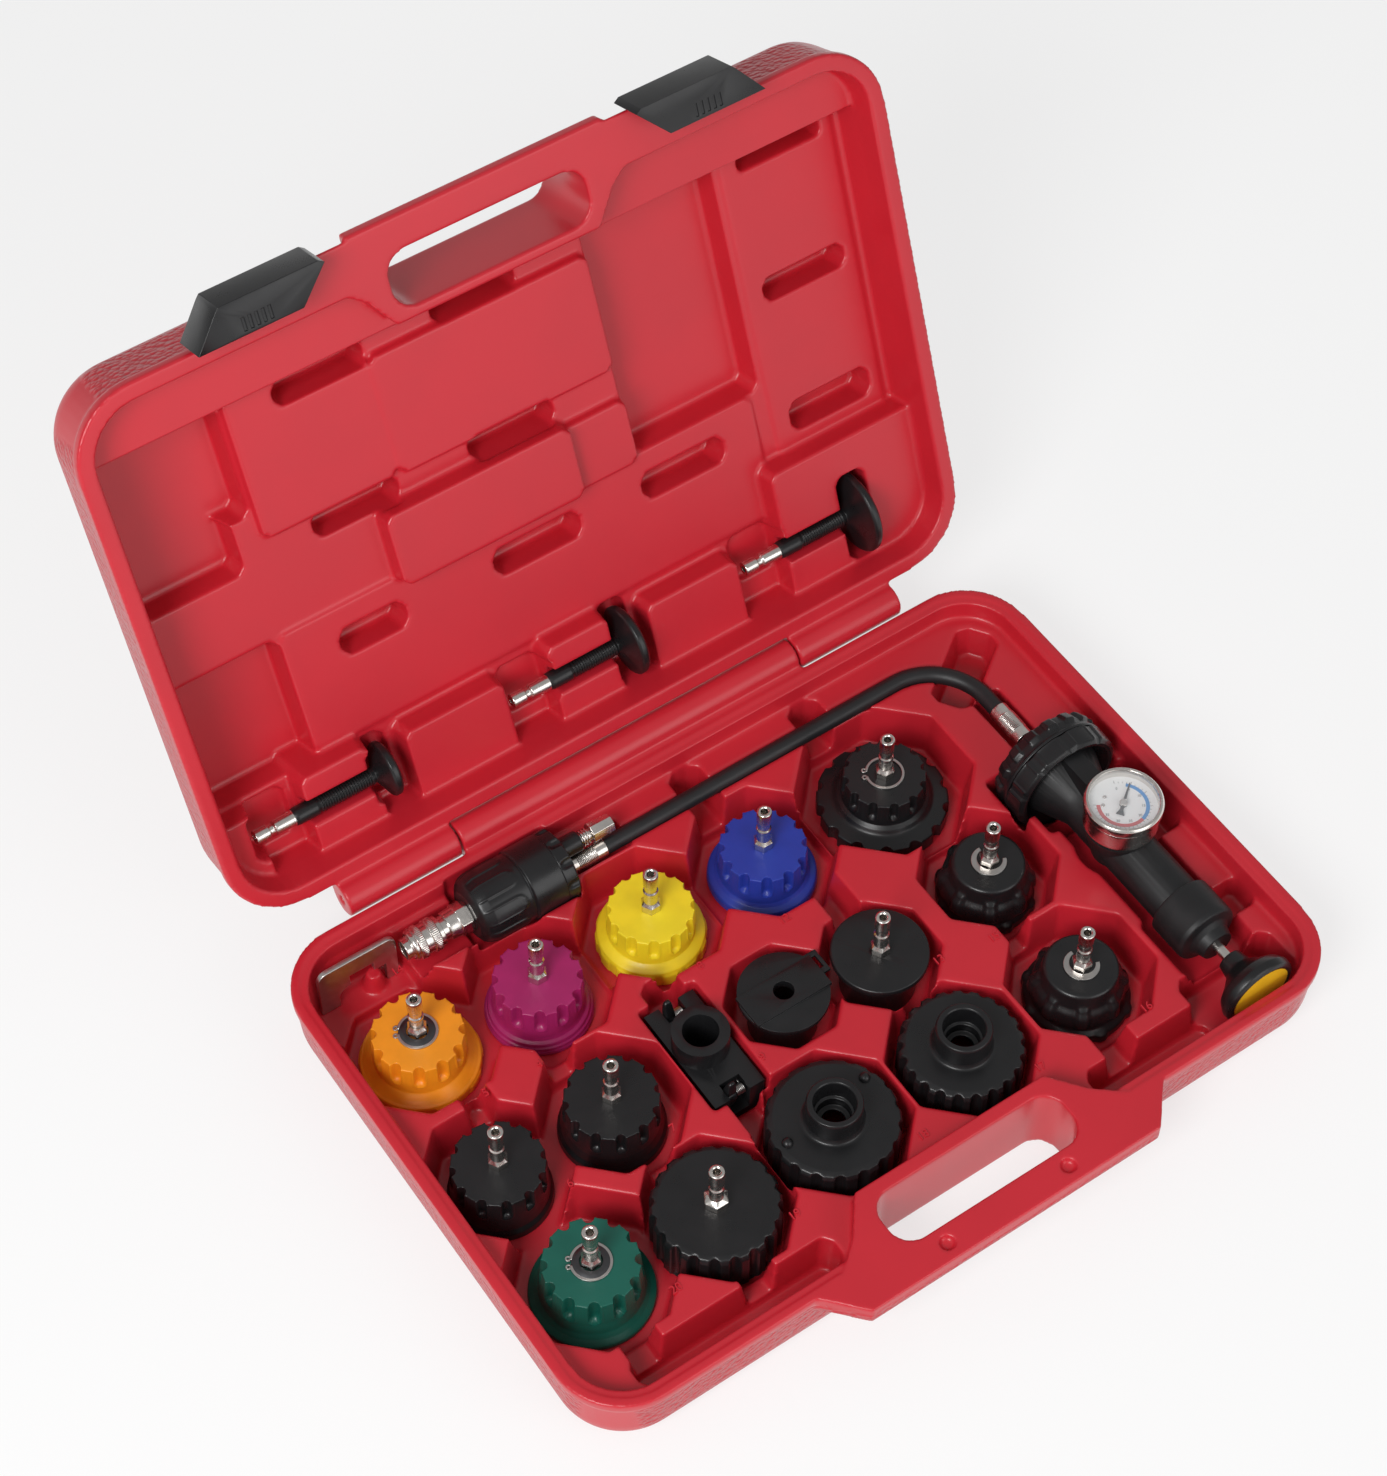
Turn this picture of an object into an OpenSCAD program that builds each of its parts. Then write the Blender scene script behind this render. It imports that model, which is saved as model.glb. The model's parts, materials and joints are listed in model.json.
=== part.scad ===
// Cooling-system pressure tester kit: hand pump with gauge, hose and coupler,
// moulded filler-neck adapters and expanding plugs in a blow-moulded case.
// Origin: centre of the tray's underside, +X along the hinge, +Y to the hinge, +Z up.
// The lid is drawn closed and then swung open about the hinge pin.

/* [Case] */
// Length of the case along the hinge
case_w = 460; // [440:1:520]
// Depth of the case from its front wall to its back wall
case_d = 310; // [300:1:360]
// Height of the tray
tray_h = 45; // [44:1:60]
// Height of the lid
lid_h = 48; // [48:1:60]
// Corner radius of the case in plan
corner_r = 38; // [24:1:60]
// Radius of the long bottom and top edges
edge_r = 16; // [6:1:20]
// Lean of the side walls over their height
wall_lean = 2.4; // [0:0.2:4]
// Width of the rim around both halves
rim_w = 9; // [6:0.5:12]
// Height of the moulded islands above the floor of the case
deck_z = 33; // [26:0.5:36]
// Height of the pocket floors
floor_z = 6; // [3:0.5:10]
// Flare of a pocket wall from floor to island
flare = 4; // [1:0.5:6]
// Angle to which the lid opens
open_angle = 111; // [0:1:111]

/* [Hinge and handle] */
// Distance of the hinge pin behind the back wall
hinge_out = 11; // [9.5:0.5:14]
// Radius of the hinge barrels
barrel_r = 9.6; // [6:0.2:10]
// Radius of the hinge pin
pin_r = 2.5; // [1.5:0.1:4]
// Clearance round the pin
pin_gap = 0.05; // [0.02:0.01:0.1]
// Length of the middle barrel, on the tray
mid_barrel = 215; // [160:1:240]
// Length of each outer barrel, on the lid
end_barrel = 68; // [40:1:80]
// Reach of the carrying handle in front of the case
handle_reach = 20; // [16:0.5:26]
// Length of the handle opening
grip_w = 112; // [90:1:130]
// Depth of the handle opening
grip_d = 30; // [26:1:34]
// Thickness of the handle on the tray
handle_t = 12; // [8:0.5:14]
// Thickness of the handle on the lid
lid_handle_t = 8; // [5:0.5:12]

/* [Latches] */
// Length of a latch
latch_w = 56; // [40:1:60]
// Wall of a latch
latch_t = 3; // [2:0.2:4]
// Gap between a latch and its rail
latch_gap = 0.4; // [0.2:0.1:0.8]
// Thickness of the lid's rail
rail_t = 2.6; // [2:0.2:5]
// Travel of a latch
latch_travel = 18; // [10:1:20]
// How far the right latch stands slid towards the handle
latch_slid = 7; // [0:1:18]

/* [Caps] */
// Height of the cap tops
cap_top = 37; // [32:0.5:42]
// Wall of a cap
cap_wall = 4.5; // [3:0.5:6]
// Height of a nipple above its cap
nipple_h = 31.5; // [24:0.5:33]
// Radius of a nipple's plug end
nipple_r = 4; // [3:0.1:5]
// Radius of a nipple's shank through the cap
shank_r = 3.2; // [2.5:0.1:4]
// Radial clearance of a shank in its cap
shank_gap = 0.1; // [0.05:0.05:0.3]
// Number of flutes round a fluted cap
flutes = 12; // [8:1:16]
// Radius of the open collars and their seats
collar_r = 14.5; // [12:0.5:17]

/* [Pump] */
// Radius of the pump head
head_r = 34; // [28:0.5:36]
// Radius of the pump barrel
pump_r = 14.5; // [12:0.5:17]
// Radius of the barrel's bore
bore_r = 11; // [8:0.5:12]
// Radius of the end collar
end_r = 18; // [16:0.5:20]
// Radius of the piston rod
rod_r = 3; // [2:0.2:4]
// Radius of the pump knob
knob_r = 21.5; // [16:0.5:22.5]
// Travel of the knob towards the barrel inside the case
pump_travel = 9; // [4:0.5:9]
// Height of the pump's axis
pump_z = 37; // [36:0.5:40]
// Radius of the gauge
gauge_r = 21; // [18:0.5:24]
// Height of the gauge case
gauge_h = 21; // [14:0.5:21]

/* [Hose line] */
// Radius of the hose
hose_r = 4.8; // [4:0.1:6]
// Bore radius of the hose
hose_bore = 2.4; // [1.5:0.1:3]
// Radius of the hose's bend
bend_r = 36; // [30:1:40]
// Height of the hose's axis
hose_z = 32; // [31:0.5:34]
// Radius of the grip body
body_r = 20.5; // [17:0.5:21.5]
// Height of the grip body's axis
body_z = 36; // [35:0.5:38]
// Travel of the coupler's sleeve
sleeve_travel = 3; // [1:0.5:4]
// Pull of the relief knob
relief_travel = 3; // [1:0.5:5]

/* [Plugs] */
// Flange radii of the three plugs
plug_r1 = 15.5; // [12:0.5:18]
// Flange radius of the second plug
plug_r2 = 20; // [16:0.5:22]
// Flange radius of the third plug
plug_r3 = 24.5; // [20:0.5:24.5]
// Radius of the threaded stems
stem_r = 5; // [4:0.2:5.8]

/* [Hidden] */
$fn = 64;

red = "#c9202e";
black = "#1d1d1f";
steel = "#c9c6c0";

back_y = case_d / 2;
front_y = -case_d / 2;
right_x = case_w / 2;
hinge_y = back_y + hinge_out;
shelf_z = tray_h + 15;          // lid's raised blocks and front shelf
lid_z = tray_h + 29;            // lid's general inner level
deep_z = tray_h + lid_h - 4;    // lid's deepest pockets
lid_top = tray_h + lid_h;
slop = 0.3;                     // room between a piece and the pocket it stands in

// Skirt radius of each moulded adapter
skirt_orange = 32;
skirt_purple = 28.5;
skirt_yellow = 29.5;
skirt_blue = 29.5;
skirt_two_step = 36;
skirt_black_1 = 27;
skirt_black_2 = 28.2;
skirt_green = 32;
skirt_dome_1 = 27.5;
skirt_dome_2 = 29.5;
scallop_r = 33;
ball_r = 34.5;
notched_r = 32.5;
disc_r = 25.8;
plate_r = 24;
lever_w = 30;                   // lever adapter's width and length
lever_l = 64;

// Pump and hose line
pump_x = right_x - 47.5;
inlet_x = pump_x + 2;
hose_y = back_y - 30;
ferrule_len = 24;
head_y1 = hose_y - bend_r - ferrule_len - 24;
ring_y = head_y1 - 13;
head_y0 = head_y1 - 25;
barrel_y = front_y + 80;
end_y = barrel_y - 24;
neck_y = end_y - 8;
knob_y = neck_y - pump_travel;
gauge_y = barrel_y + 0.55 * (head_y0 - barrel_y);
gauge_z = pump_z + pump_r;
neck_r = pump_r + 8.3;          // barrel's flare inside the head
flange_r = pump_r + 12.5;
body_x0 = -right_x + 105;
body_x1 = body_x0 + 50;
cap_x1 = body_x1 + 8;
body_y = hose_y + 2.3;
relief_y = hose_y + 4.5;
relief_z = body_z + 7.5;
coupler_x = body_x0 - 39;
knob_front = front_y + 13.5;
boss_y = gauge_y + gauge_r + 1.6;
stem_z = gauge_z + 5;
bracket_x = -right_x + 18;
bracket_y = back_y - 21.5;

// Sum of the first n values of a list
function total(v, n) = n <= 0 ? 0 : v[n - 1] + total(v, n - 1);

// Middles of pieces of these half widths in a row from a to b. The gaps before, between and behind
// them are drawn for the case's own size, and share what room another size leaves
function in_row(a, b, half, gap) =
    let(k = (b - a - 2 * total(half, len(half))) / total(gap, len(gap)))
    [for (i = [0 : len(half) - 1]) a + k * total(gap, i + 1) + 2 * total(half, i) + half[i]];

handle_y = front_y + 28;        // back wall of the handle opening
wall_x = -right_x + 12.1;       // foot of the left wall inside the case
rows = in_row(handle_y, body_y - body_r, [ball_r, lever_l / 2, 29], [16, 6, 20, 0.8]);
row_1 = in_row(wall_x, pump_x - head_r, [skirt_orange, skirt_purple, skirt_yellow, skirt_blue, skirt_two_step],
    [2.4, 7, 13.5, 11.5, 14.5, 6.5]);
row_2 = in_row(wall_x, pump_x - head_r, [skirt_black_1, skirt_black_2, lever_w / 2, plate_r, disc_r, skirt_dome_1],
    [0.9, 11.3, 13.3, 11, 5.2, 26.2, 3.5]);
row_3 = in_row(wall_x, pump_x - end_r, [skirt_green, scallop_r, ball_r, notched_r, skirt_dome_2],
    [3.9, 3, 7.5, 11.5, 16, 17.5]);

// Places of the adapters on the tray: x, y
at_orange = [row_1[0], rows[2] + 4.5];
at_purple = [row_1[1], rows[2] - 2.5];
at_yellow = [row_1[2], rows[2]];
at_blue = [row_1[3], rows[2] - 1];
at_two_step = [row_1[4], rows[2]];
at_black_1 = [row_2[0], rows[1] - 0.5];
at_black_2 = [row_2[1], rows[1] - 1];
at_lever = [row_2[2], rows[1]];
at_plate = [row_2[3], rows[1] + 1];
at_disc = [row_2[4], rows[1] - 7];
at_dome_1 = [row_2[5], rows[1] + 5];
at_green = [row_3[0], rows[0] + 1.5];
at_scalloped = [row_3[1], rows[0] - 6];
at_ball = [row_3[2], rows[0]];
at_notched = [row_3[3], rows[0] - 2];
at_dome_2 = [row_3[4], rows[0]];

// ---------------------------------------------------------------- helpers

// Block between two corners
module slab(x0, x1, y0, y1, z0, z1) {
    translate([x0, y0, z0]) cube([x1 - x0, y1 - y0, z1 - z0]);
}

// Rectangle with cut corners, centred
module cut_rect(w, d, c) {
    polygon([[-w / 2 + c, -d / 2], [w / 2 - c, -d / 2], [w / 2, -d / 2 + c], [w / 2, d / 2 - c],
        [w / 2 - c, d / 2], [-w / 2 + c, d / 2], [-w / 2, d / 2 - c], [-w / 2, -d / 2 + c]]);
}

// Moulded pocket or block that grows by g on every side from z0 to z1
module well(x0, x1, y0, y1, z0, z1, g = flare, c = 4) {
    w = x1 - x0;
    d = y1 - y0;
    translate([(x0 + x1) / 2, (y0 + y1) / 2, z0])
        linear_extrude(z1 - z0, scale = [(w + 2 * g) / w, (d + 2 * g) / d], slices = 1, $fn = 4)
            cut_rect(w, d, min(c, w / 3, d / 3));
}

// Eight-sided pocket round an adapter: apothem at the islands
module cap_pocket(at, a, z0 = floor_z) {
    k = 1 / cos(22.5);
    translate([at[0], at[1], z0]) rotate(22.5)
        cylinder(h = deck_z + slop - z0, r1 = (a - flare) * k, r2 = a * k, $fn = 8);
}

// Closed profile of a case half, mirrored about its middle; side is a list of [inset, z]
function both_sides(half, side) = concat(
    [for (p = side) [half - p[0], p[1]]],
    [for (i = [len(side) - 1 : -1 : 0]) [-(half - side[i][0]), side[i][1]]]);

// Rectangular tub with round corners: side is a list of [inset, z] from low to high
module tub(w, d, r, side) {
    for (sx = [-1, 1], sy = [-1, 1])
        translate([sx * (w / 2 - r), sy * (d / 2 - r), 0])
            rotate_extrude()
                polygon(concat([[0, side[0][1]]], [for (p = side) [r - p[0], p[1]]],
                    [[0, side[len(side) - 1][1]]]));
    rotate([90, 0, 0])
        linear_extrude(d - 2 * r, center = true)
            polygon(both_sides(w / 2, side));
    rotate([90, 0, 90])
        linear_extrude(w - 2 * r, center = true)
            polygon(both_sides(d / 2, side));
}

// Outer side of a case half: a rounded edge, a leaning wall and the rim's lip
function outer_side(h) = concat(
    [for (a = [0 : 15 : 75]) [wall_lean + edge_r * (1 - sin(a)), edge_r * (1 - cos(a))]],
    [[wall_lean, edge_r], [1.2, h - 7], [0, h - 6], [0, h]]);

// Inner limit of the pockets, clear of the outer side
pocket_side = [[rim_w + 4, 2], [rim_w + 2.5, floor_z + 3], [rim_w + 1, deck_z], [rim_w, tray_h + 1]];

// Hinge barrel about the pin's axis, from x0 to x1
module barrel(x0, x1) {
    translate([x0, hinge_y, tray_h]) rotate([0, 90, 0]) cylinder(h = x1 - x0, r = barrel_r);
}

module pin_bore(x0, x1) {
    translate([x0, hinge_y, tray_h]) rotate([0, 90, 0]) cylinder(h = x1 - x0, r = pin_r + pin_gap);
}

// Carries what is drawn on the closed lid to its open place
module swing() {
    translate([0, hinge_y, tray_h]) rotate([-open_angle, 0, 0]) translate([0, -hinge_y, -tray_h]) children();
}

// Plan of the handle plate with slanted shoulders
shoulder_x = 88;
shoulder_w = 18;
module handle_plan(reach) {
    polygon([[-shoulder_x - shoulder_w, front_y + 12], [-shoulder_x - shoulder_w, front_y],
        [-shoulder_x, front_y - reach], [shoulder_x, front_y - reach],
        [shoulder_x + shoulder_w, front_y], [shoulder_x + shoulder_w, front_y + 12]]);
}

module handle_hole(z0, z1) {
    r = 12;
    translate([0, 0, z0]) linear_extrude(z1 - z0) {
        for (sx = [-1, 1]) {
            translate([sx * (grip_w / 2 - r), handle_y - r]) circle(r);
            translate([sx * (grip_w / 2 - r), handle_y - grip_d + r]) circle(r);
        }
        translate([-grip_w / 2 + r, handle_y - grip_d]) square([grip_w - 2 * r, grip_d]);
        translate([-grip_w / 2, handle_y - grip_d + r]) square([grip_w, grip_d - 2 * r]);
    }
}

// Wall that stands round the back of the handle opening
module handle_wall(z0, z1, g) {
    w = grip_w + 40;
    translate([0, front_y + 2, z0])
        linear_extrude(z1 - z0)
            polygon([[-w / 2 - g - 14, 0], [-w / 2 - g + 4, 16 + g], [-w / 2 + 18, 34 + g],
                [w / 2 - 18, 34 + g], [w / 2 + g - 4, 16 + g], [w / 2 + g + 14, 0]]);
}

// ---------------------------------------------------------------- case

module tray_pockets() {
    cap_pocket(at_orange, 42);
    cap_pocket(at_purple, 39.5);
    cap_pocket(at_yellow, 39);
    cap_pocket(at_blue, 39);
    cap_pocket(at_two_step, 46);
    cap_pocket(at_black_1, 37);
    cap_pocket(at_black_2, 38);
    cap_pocket(at_plate, 29.5);
    cap_pocket(at_disc, 31);
    cap_pocket(at_dome_1, 36);
    cap_pocket(at_green, 42);
    cap_pocket(at_scalloped, 38);
    cap_pocket(at_ball, 39);
    cap_pocket(at_notched, 37.5);
    cap_pocket(at_dome_2, 38);
    // lever adapter
    well(at_lever[0] - lever_w / 2 - 1, at_lever[0] + lever_w / 2 + 1, at_lever[1] - lever_l / 2 - 1,
        at_lever[1] + lever_l / 2 + 1, floor_z, deck_z + slop, 1.5, 1);
    well(at_lever[0] - 7, at_lever[0] + 9, rows[0] + 16.5, rows[1] + 44, floor_z + 4, deck_z + slop, 3);
    // finger channels between the rows
    for (c = [[at_black_2[0] - 12.5, 12, rows[1] + 19, rows[2] - 17], [at_black_2[0] - 2.5, 10, rows[0] + 6.5, rows[1] + 14],
              [at_disc[0] - 4, 12, rows[0] + 16.5, rows[2] - 17], [at_dome_1[0] - 16.5, 11, rows[0] + 16.5, rows[2] - 17],
              [at_green[0] - 1, 10, rows[0] + 16.5, rows[1] + 44]])
        well(c[0], c[0] + c[1], c[2], c[3], floor_z + 6, deck_z + slop, 3);
    // finger channels from the back ledge to the first row
    for (x = [at_blue[0] - 14, at_two_step[0] - 16])
        well(x, x + 14, rows[2] - 17, back_y - 14, floor_z + 6, deck_z + slop, 3);
    // front troughs and the channels that lead to them
    well(-right_x + 36, -80, front_y + 14.5, handle_y, floor_z + 2, deck_z + slop, 2.5);
    well(82, right_x - 72, front_y + 13.5, handle_y, floor_z + 2, deck_z + slop, 2.5);
    for (x = [at_green[0] - 9, at_scalloped[0] - 11, at_dome_2[0] - 18.5])
        well(x, x + 14, front_y + 25, rows[0] - 23.5, floor_z + 6, deck_z + slop, 3);
    // bracket plate, with the hump that stands in its arch, and the coupler
    difference() {
        well(-right_x + 14, -right_x + 68, hose_y - 19, back_y - 15, floor_z + 6, deck_z + slop, 3);
        translate([bracket_x + 32, bracket_y - 1.5, floor_z]) cylinder(h = 17, r1 = 8, r2 = 4);
    }
    well(coupler_x - 4, body_x0 + 3, body_y - 11.5, body_y + 11, body_z - 16, deck_z + slop, 3);
    // knob, end collar and barrel of the pump
    well(pump_x - 28.5, pump_x + 27.5, knob_front - 1.2, neck_y - 5, 13, deck_z + slop, 2.5);
    well(pump_x - end_r - 2, pump_x + end_r + 2, neck_y - 3, barrel_y + 3, pump_z - end_r - slop, deck_z + slop, 3);
    well(pump_x - 17.5, pump_x + 19.5, barrel_y + 1, head_y0 - 2, pump_z - pump_r - 2, deck_z + slop, 2);
    translate([pump_x, gauge_y, pump_z - 12]) cylinder(h = deck_z + slop - pump_z + 12, r = gauge_r + 1);
    well(pump_x - neck_r - 1, pump_x + neck_r + 1, head_y0 - 17, head_y0 - 2, pump_z - neck_r - slop,
        deck_z + slop, 0.5, 1);
    // steps of the right wall
    well(right_x - 32, right_x - 10, barrel_y - 18, barrel_y - 3, 20, deck_z + slop, 2);
    well(right_x - 32, right_x - 10, gauge_y - 8, head_y0 - 2, 16, deck_z + slop, 2);
    // inlet ferrule of the head
    well(inlet_x - 7.5, inlet_x + 7.5, head_y1 - 1, hose_y - bend_r + 1, hose_z - 9, deck_z + slop, 1.5, 1);
    // finger notch in the back corner
    translate([pump_x + 4.5, hose_y - 13, 0]) rotate(35) well(-24, 24, -9, 9, 14, deck_z + slop, 3);
}

// Round seats that hold the hose, the grip body and the pump head
module tray_seats() {
    // hose: two straight runs and a bend
    run_x = inlet_x - bend_r;
    translate([body_x1 - 6, hose_y, hose_z]) rotate([0, 90, 0]) cylinder(h = run_x - body_x1 + 6, r = hose_r + slop);
    slab(body_x1 - 6, run_x, hose_y - hose_r - slop, hose_y + hose_r + slop, hose_z, tray_h);
    translate([inlet_x - bend_r, hose_y - bend_r, hose_z])
        rotate_extrude(angle = 90) {
            translate([bend_r, 0]) circle(hose_r + slop);
            translate([bend_r - hose_r - slop, 0]) square([2 * (hose_r + slop), tray_h - hose_z]);
        }
    // grip body
    translate([body_x0 - 2, body_y, body_z])
        rotate([0, 90, 0]) cylinder(h = cap_x1 - body_x0 + 4, r = body_r + slop);
    slab(body_x0 - 2, cap_x1 + 2, body_y - body_r - slop, body_y + body_r + slop, body_z, tray_h + 1);
    // relief valve
    slab(cap_x1, cap_x1 + 39, hose_y - 7, hose_y + 12, hose_z - 8, tray_h);
    // pump head
    translate([pump_x, head_y0 - 3, pump_z]) rotate([-90, 0, 0])
        cylinder(h = head_y1 - head_y0 + 6, r = head_r + slop);
    slab(pump_x - head_r - slop, pump_x + head_r + slop, head_y0 - 3, head_y1 + 3, pump_z, tray_h + 1);
}

module tray() color(red) difference() {
    union() {
        tub(case_w, case_d, corner_r, outer_side(tray_h));
        // handle and shoulders
        translate([0, 0, tray_h - handle_t]) linear_extrude(handle_t) handle_plan(handle_reach);
        // middle hinge barrel
        barrel(-mid_barrel / 2, mid_barrel / 2);
        slab(-mid_barrel / 2, mid_barrel / 2, back_y - 4, hinge_y, tray_h - barrel_r, tray_h);
    }
    difference() {
        union() {
            tub(case_w - 2 * rim_w, case_d - 2 * rim_w, corner_r - rim_w,
                [[1, deck_z], [0, tray_h], [0, tray_h + 1]]);
            tub(case_w - rim_w, case_d - rim_w, corner_r - rim_w / 2, [[0, tray_h - 1], [0, tray_h + 1]]);
            intersection() {
                tray_pockets();
                tub(case_w, case_d, corner_r, pocket_side);
            }
        }
        handle_wall(0, tray_h + 2, 0);
    }
    tray_seats();
    handle_hole(-1, tray_h + 1);
    for (sx = [-1, 1])
        translate([sx * 37, front_y - 11, tray_h - 3]) cylinder(h = 4, r = 4);
    pin_bore(-mid_barrel / 2 - 1, mid_barrel / 2 + 1);
}

// Raised block of the closed lid, from the top skin down to z
module lid_block(x0, x1, y0, y1, z, g = 3) {
    translate([0, 0, lid_top - 2]) mirror([0, 0, 1])
        well(x0 - g, x1 + g, y0 - g, y1 + g, 0, lid_top - 2 - z, -g);
}

// Recess of the closed lid, from z0 up to the deep level
module lid_recess(x0, x1, y0, y1, z0, z1 = deep_z, g = 2) {
    translate([0, 0, z1]) mirror([0, 0, 1]) well(x0 + g, x1 - g, y0 + g, y1 - g, 0, z1 - z0, g);
}

plug_y = [119.5, 120, 115.5];
plug_z = tray_h + 20;
plug_x0 = [-204, -49, 101];         // nipple tips
plug_x1 = [-133, 17, 168];          // backs of the flanges
plug_r = [plug_r1, plug_r2, plug_r3];
flange_t = 10.5;

module lid_blocks() {
    // raised fields
    lid_block(-147, -70, -112, -32, tray_h + 25, 2);
    lid_block(-69, 58, -98, -31, tray_h + 24.5, 2);
    lid_block(-87, 22, -17, 25, tray_h + 17, 2);
    lid_block(21, 59, -12.5, 25.5, tray_h + 24, 2);
    lid_block(-156, 132, 23, 97, tray_h + 27.5, 2);
    lid_block(143, 212, -112, 68, tray_h + 28, 2);
    // blocks beside the plugs
    lid_block(-222, -200, 103, 150, shelf_z);
    lid_block(-173, -133, 98, 150, shelf_z);
    lid_block(-112, -52, 103, 150, shelf_z);
    lid_block(-24, 15, 98, 150, shelf_z);
    lid_block(38, 96, 104, 150, shelf_z);
    lid_block(127, 222, 67, 150, shelf_z);
    // wall round the handle opening
    handle_wall(tray_h - 2, lid_top, -2);
}

latch_x = -right_x + 68;        // outer end of the left latch
rail_x = -latch_x - 3 - latch_travel;
module lid() color(red) swing() difference() {
    union() {
        translate([0, 0, tray_h + lid_h]) mirror([0, 0, 1])
            tub(case_w, case_d, corner_r, outer_side(lid_h));
        // handle and latch rails
        translate([0, 0, tray_h]) linear_extrude(lid_handle_t)
            polygon([[-72, front_y + 12], [-72, front_y - handle_reach], [72, front_y - handle_reach],
                [72, front_y + 12]]);
        translate([0, 0, tray_h]) linear_extrude(rail_t)
            polygon([[-rail_x, front_y + 12], [-rail_x, front_y - 3], [-rail_x + 15, front_y - handle_reach + 2],
                [rail_x - 15, front_y - handle_reach + 2], [rail_x, front_y - 3], [rail_x, front_y + 12]]);
        // outer hinge barrels
        for (sx = [-1, 1]) {
            x0 = sx > 0 ? mid_barrel / 2 + 1 : -mid_barrel / 2 - 1 - end_barrel;
            barrel(x0, x0 + end_barrel);
            slab(x0, x0 + end_barrel, back_y - 4, hinge_y, tray_h, tray_h + barrel_r);
        }
    }
    difference() {
        union() {
            // space inside the rim, down to the front shelf
            tub(case_w - 2 * rim_w, case_d - 2 * rim_w, corner_r - rim_w,
                [[0, tray_h - 1], [0, tray_h], [2, shelf_z]]);
            // general level behind the shelf
            intersection() {
                tub(case_w - 2 * rim_w, case_d - 2 * rim_w, corner_r - rim_w, [[2, shelf_z - 1], [4, lid_z]]);
                slab(-right_x, right_x, -114, back_y, shelf_z - 2, lid_z);
            }
            // deep recesses
            lid_recess(-218, -149, -110, -46, lid_z - 0.5);
            lid_recess(-218, -160, -50, -18, lid_z - 0.5);
            lid_recess(59, 139, -110, 23, lid_z - 0.5);
            lid_recess(-218, -156, 24, 100, lid_z - 0.5);
        }
        lid_blocks();
    }
    handle_hole(tray_h - 1, lid_top + 1);
    // slots
    for (s = [[-121, -68, -109, -95], [-30, 20, -109, -97.5], [-121, -70, -32, -16], [-30, 22, -32, -16],
              [-126, -86, 36, 53], [-34, 20, 36, 53], [58, 111, 36, 53],
              [153, 206, 39, 58], [153, 206, -37, -22], [153, 206, -109, -99]])
        lid_recess(s[0], s[1], s[2], s[3], tray_h + 24, deep_z, 2);
    // room for the plugs
    for (i = [0 : 2]) {
        x0 = plug_x0[i];
        x1 = plug_x1[i];
        lid_recess(x0 - 3, x0 + 27, plug_y[i] - 18, plug_y[i] + 14, shelf_z - 1, lid_z + 4, 2);
        lid_recess(x0 + 22, x1 + 2, plug_y[i] - 8, plug_y[i] + 8, shelf_z - 1, plug_z + stem_r, 2);
        slab(x0 + 22, x1 + 2, plug_y[i] - 6, plug_y[i] + 6, shelf_z - 1, plug_z);
        lid_recess(x1 - 3, x1 + flange_t + 5, plug_y[i] - plug_r[i] - 3, plug_y[i] + plug_r[i] + 3, shelf_z - 1,
            plug_z + plug_r[i], 1);
    }
    // vent
    translate([-76, 28, tray_h]) cylinder(h = lid_h + 1, r = 1.5);
    pin_bore(-right_x, right_x);
}

module hinge_pin() color(steel)
    translate([-mid_barrel / 2 - end_barrel, hinge_y, tray_h]) rotate([0, 90, 0])
        cylinder(h = mid_barrel + 2 * end_barrel, r = pin_r);

// Latch: a C-section with slanted ends, closed at its outer end, that slides on the lid's rail
module latch_shape() {
    y_in = front_y - 4.5;
    y_out = front_y - handle_reach - latch_gap - latch_t;
    z_in0 = tray_h - handle_t - latch_gap;
    z_in1 = tray_h + rail_t + latch_gap;
    translate([latch_x, 0, 0]) difference() {
        translate([0, 0, z_in0 - latch_t]) linear_extrude(z_in1 - z_in0 + 2 * latch_t)
            polygon([[0, y_in], [latch_w, y_in], [latch_w + 16, y_out + 2], [latch_w + 13, y_out],
                [16, y_out], [14, y_out + 2]]);
        translate([0, 0, z_in0]) linear_extrude(z_in1 - z_in0)
            polygon([[-0.6, y_in + 5], [latch_w + 20, y_in + 5], [latch_w + 20, y_out + latch_t],
                [16.7, y_out + latch_t]]);
        // grip ribs
        for (i = [0 : 4])
            translate([25 + i * 3.5, y_in - 9, z_in0 - latch_t - 1]) cube([1.6, 7, 1.6]);
    }
}

module latch_left() color(black) swing() latch_shape();
module latch_right() color(black) swing() translate([-latch_slid, 0, 0]) mirror([1, 0, 0]) latch_shape();

// ---------------------------------------------------------------- pump and gauge

// Turns what is drawn along +Z to lie along +Y on the pump's axis
module on_pump(y) {
    translate([pump_x, y, pump_z]) rotate([-90, 0, 0]) children();
}

module pump_barrel() color(black) difference() {
    union() {
        on_pump(barrel_y) cylinder(h = ring_y - barrel_y, r = pump_r);
        // flare and flange that the ring nut holds
        on_pump(head_y0 - 16) cylinder(h = 21, r1 = pump_r, r2 = neck_r);
        on_pump(head_y0 + 5) cylinder(h = 2, r = neck_r);
        on_pump(head_y0 + 7) cylinder(h = ring_y - head_y0 - 7, r = flange_r);
        // saddle under the gauge
        translate([pump_x, gauge_y, pump_z - 10]) cylinder(h = pump_r + 10, r1 = 13, r2 = gauge_r - 1.5);
        // boss that takes the gauge's stem
        slab(pump_x - 5.5, pump_x + 5.5, boss_y, head_y0 + 1.5, pump_z, stem_z + 6);
    }
    on_pump(barrel_y - 1) cylinder(h = ring_y - barrel_y + 2, r = bore_r);
    translate([pump_x, boss_y - 1, stem_z]) rotate([-90, 0, 0]) cylinder(h = 8, r = 3.55);
}

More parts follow.
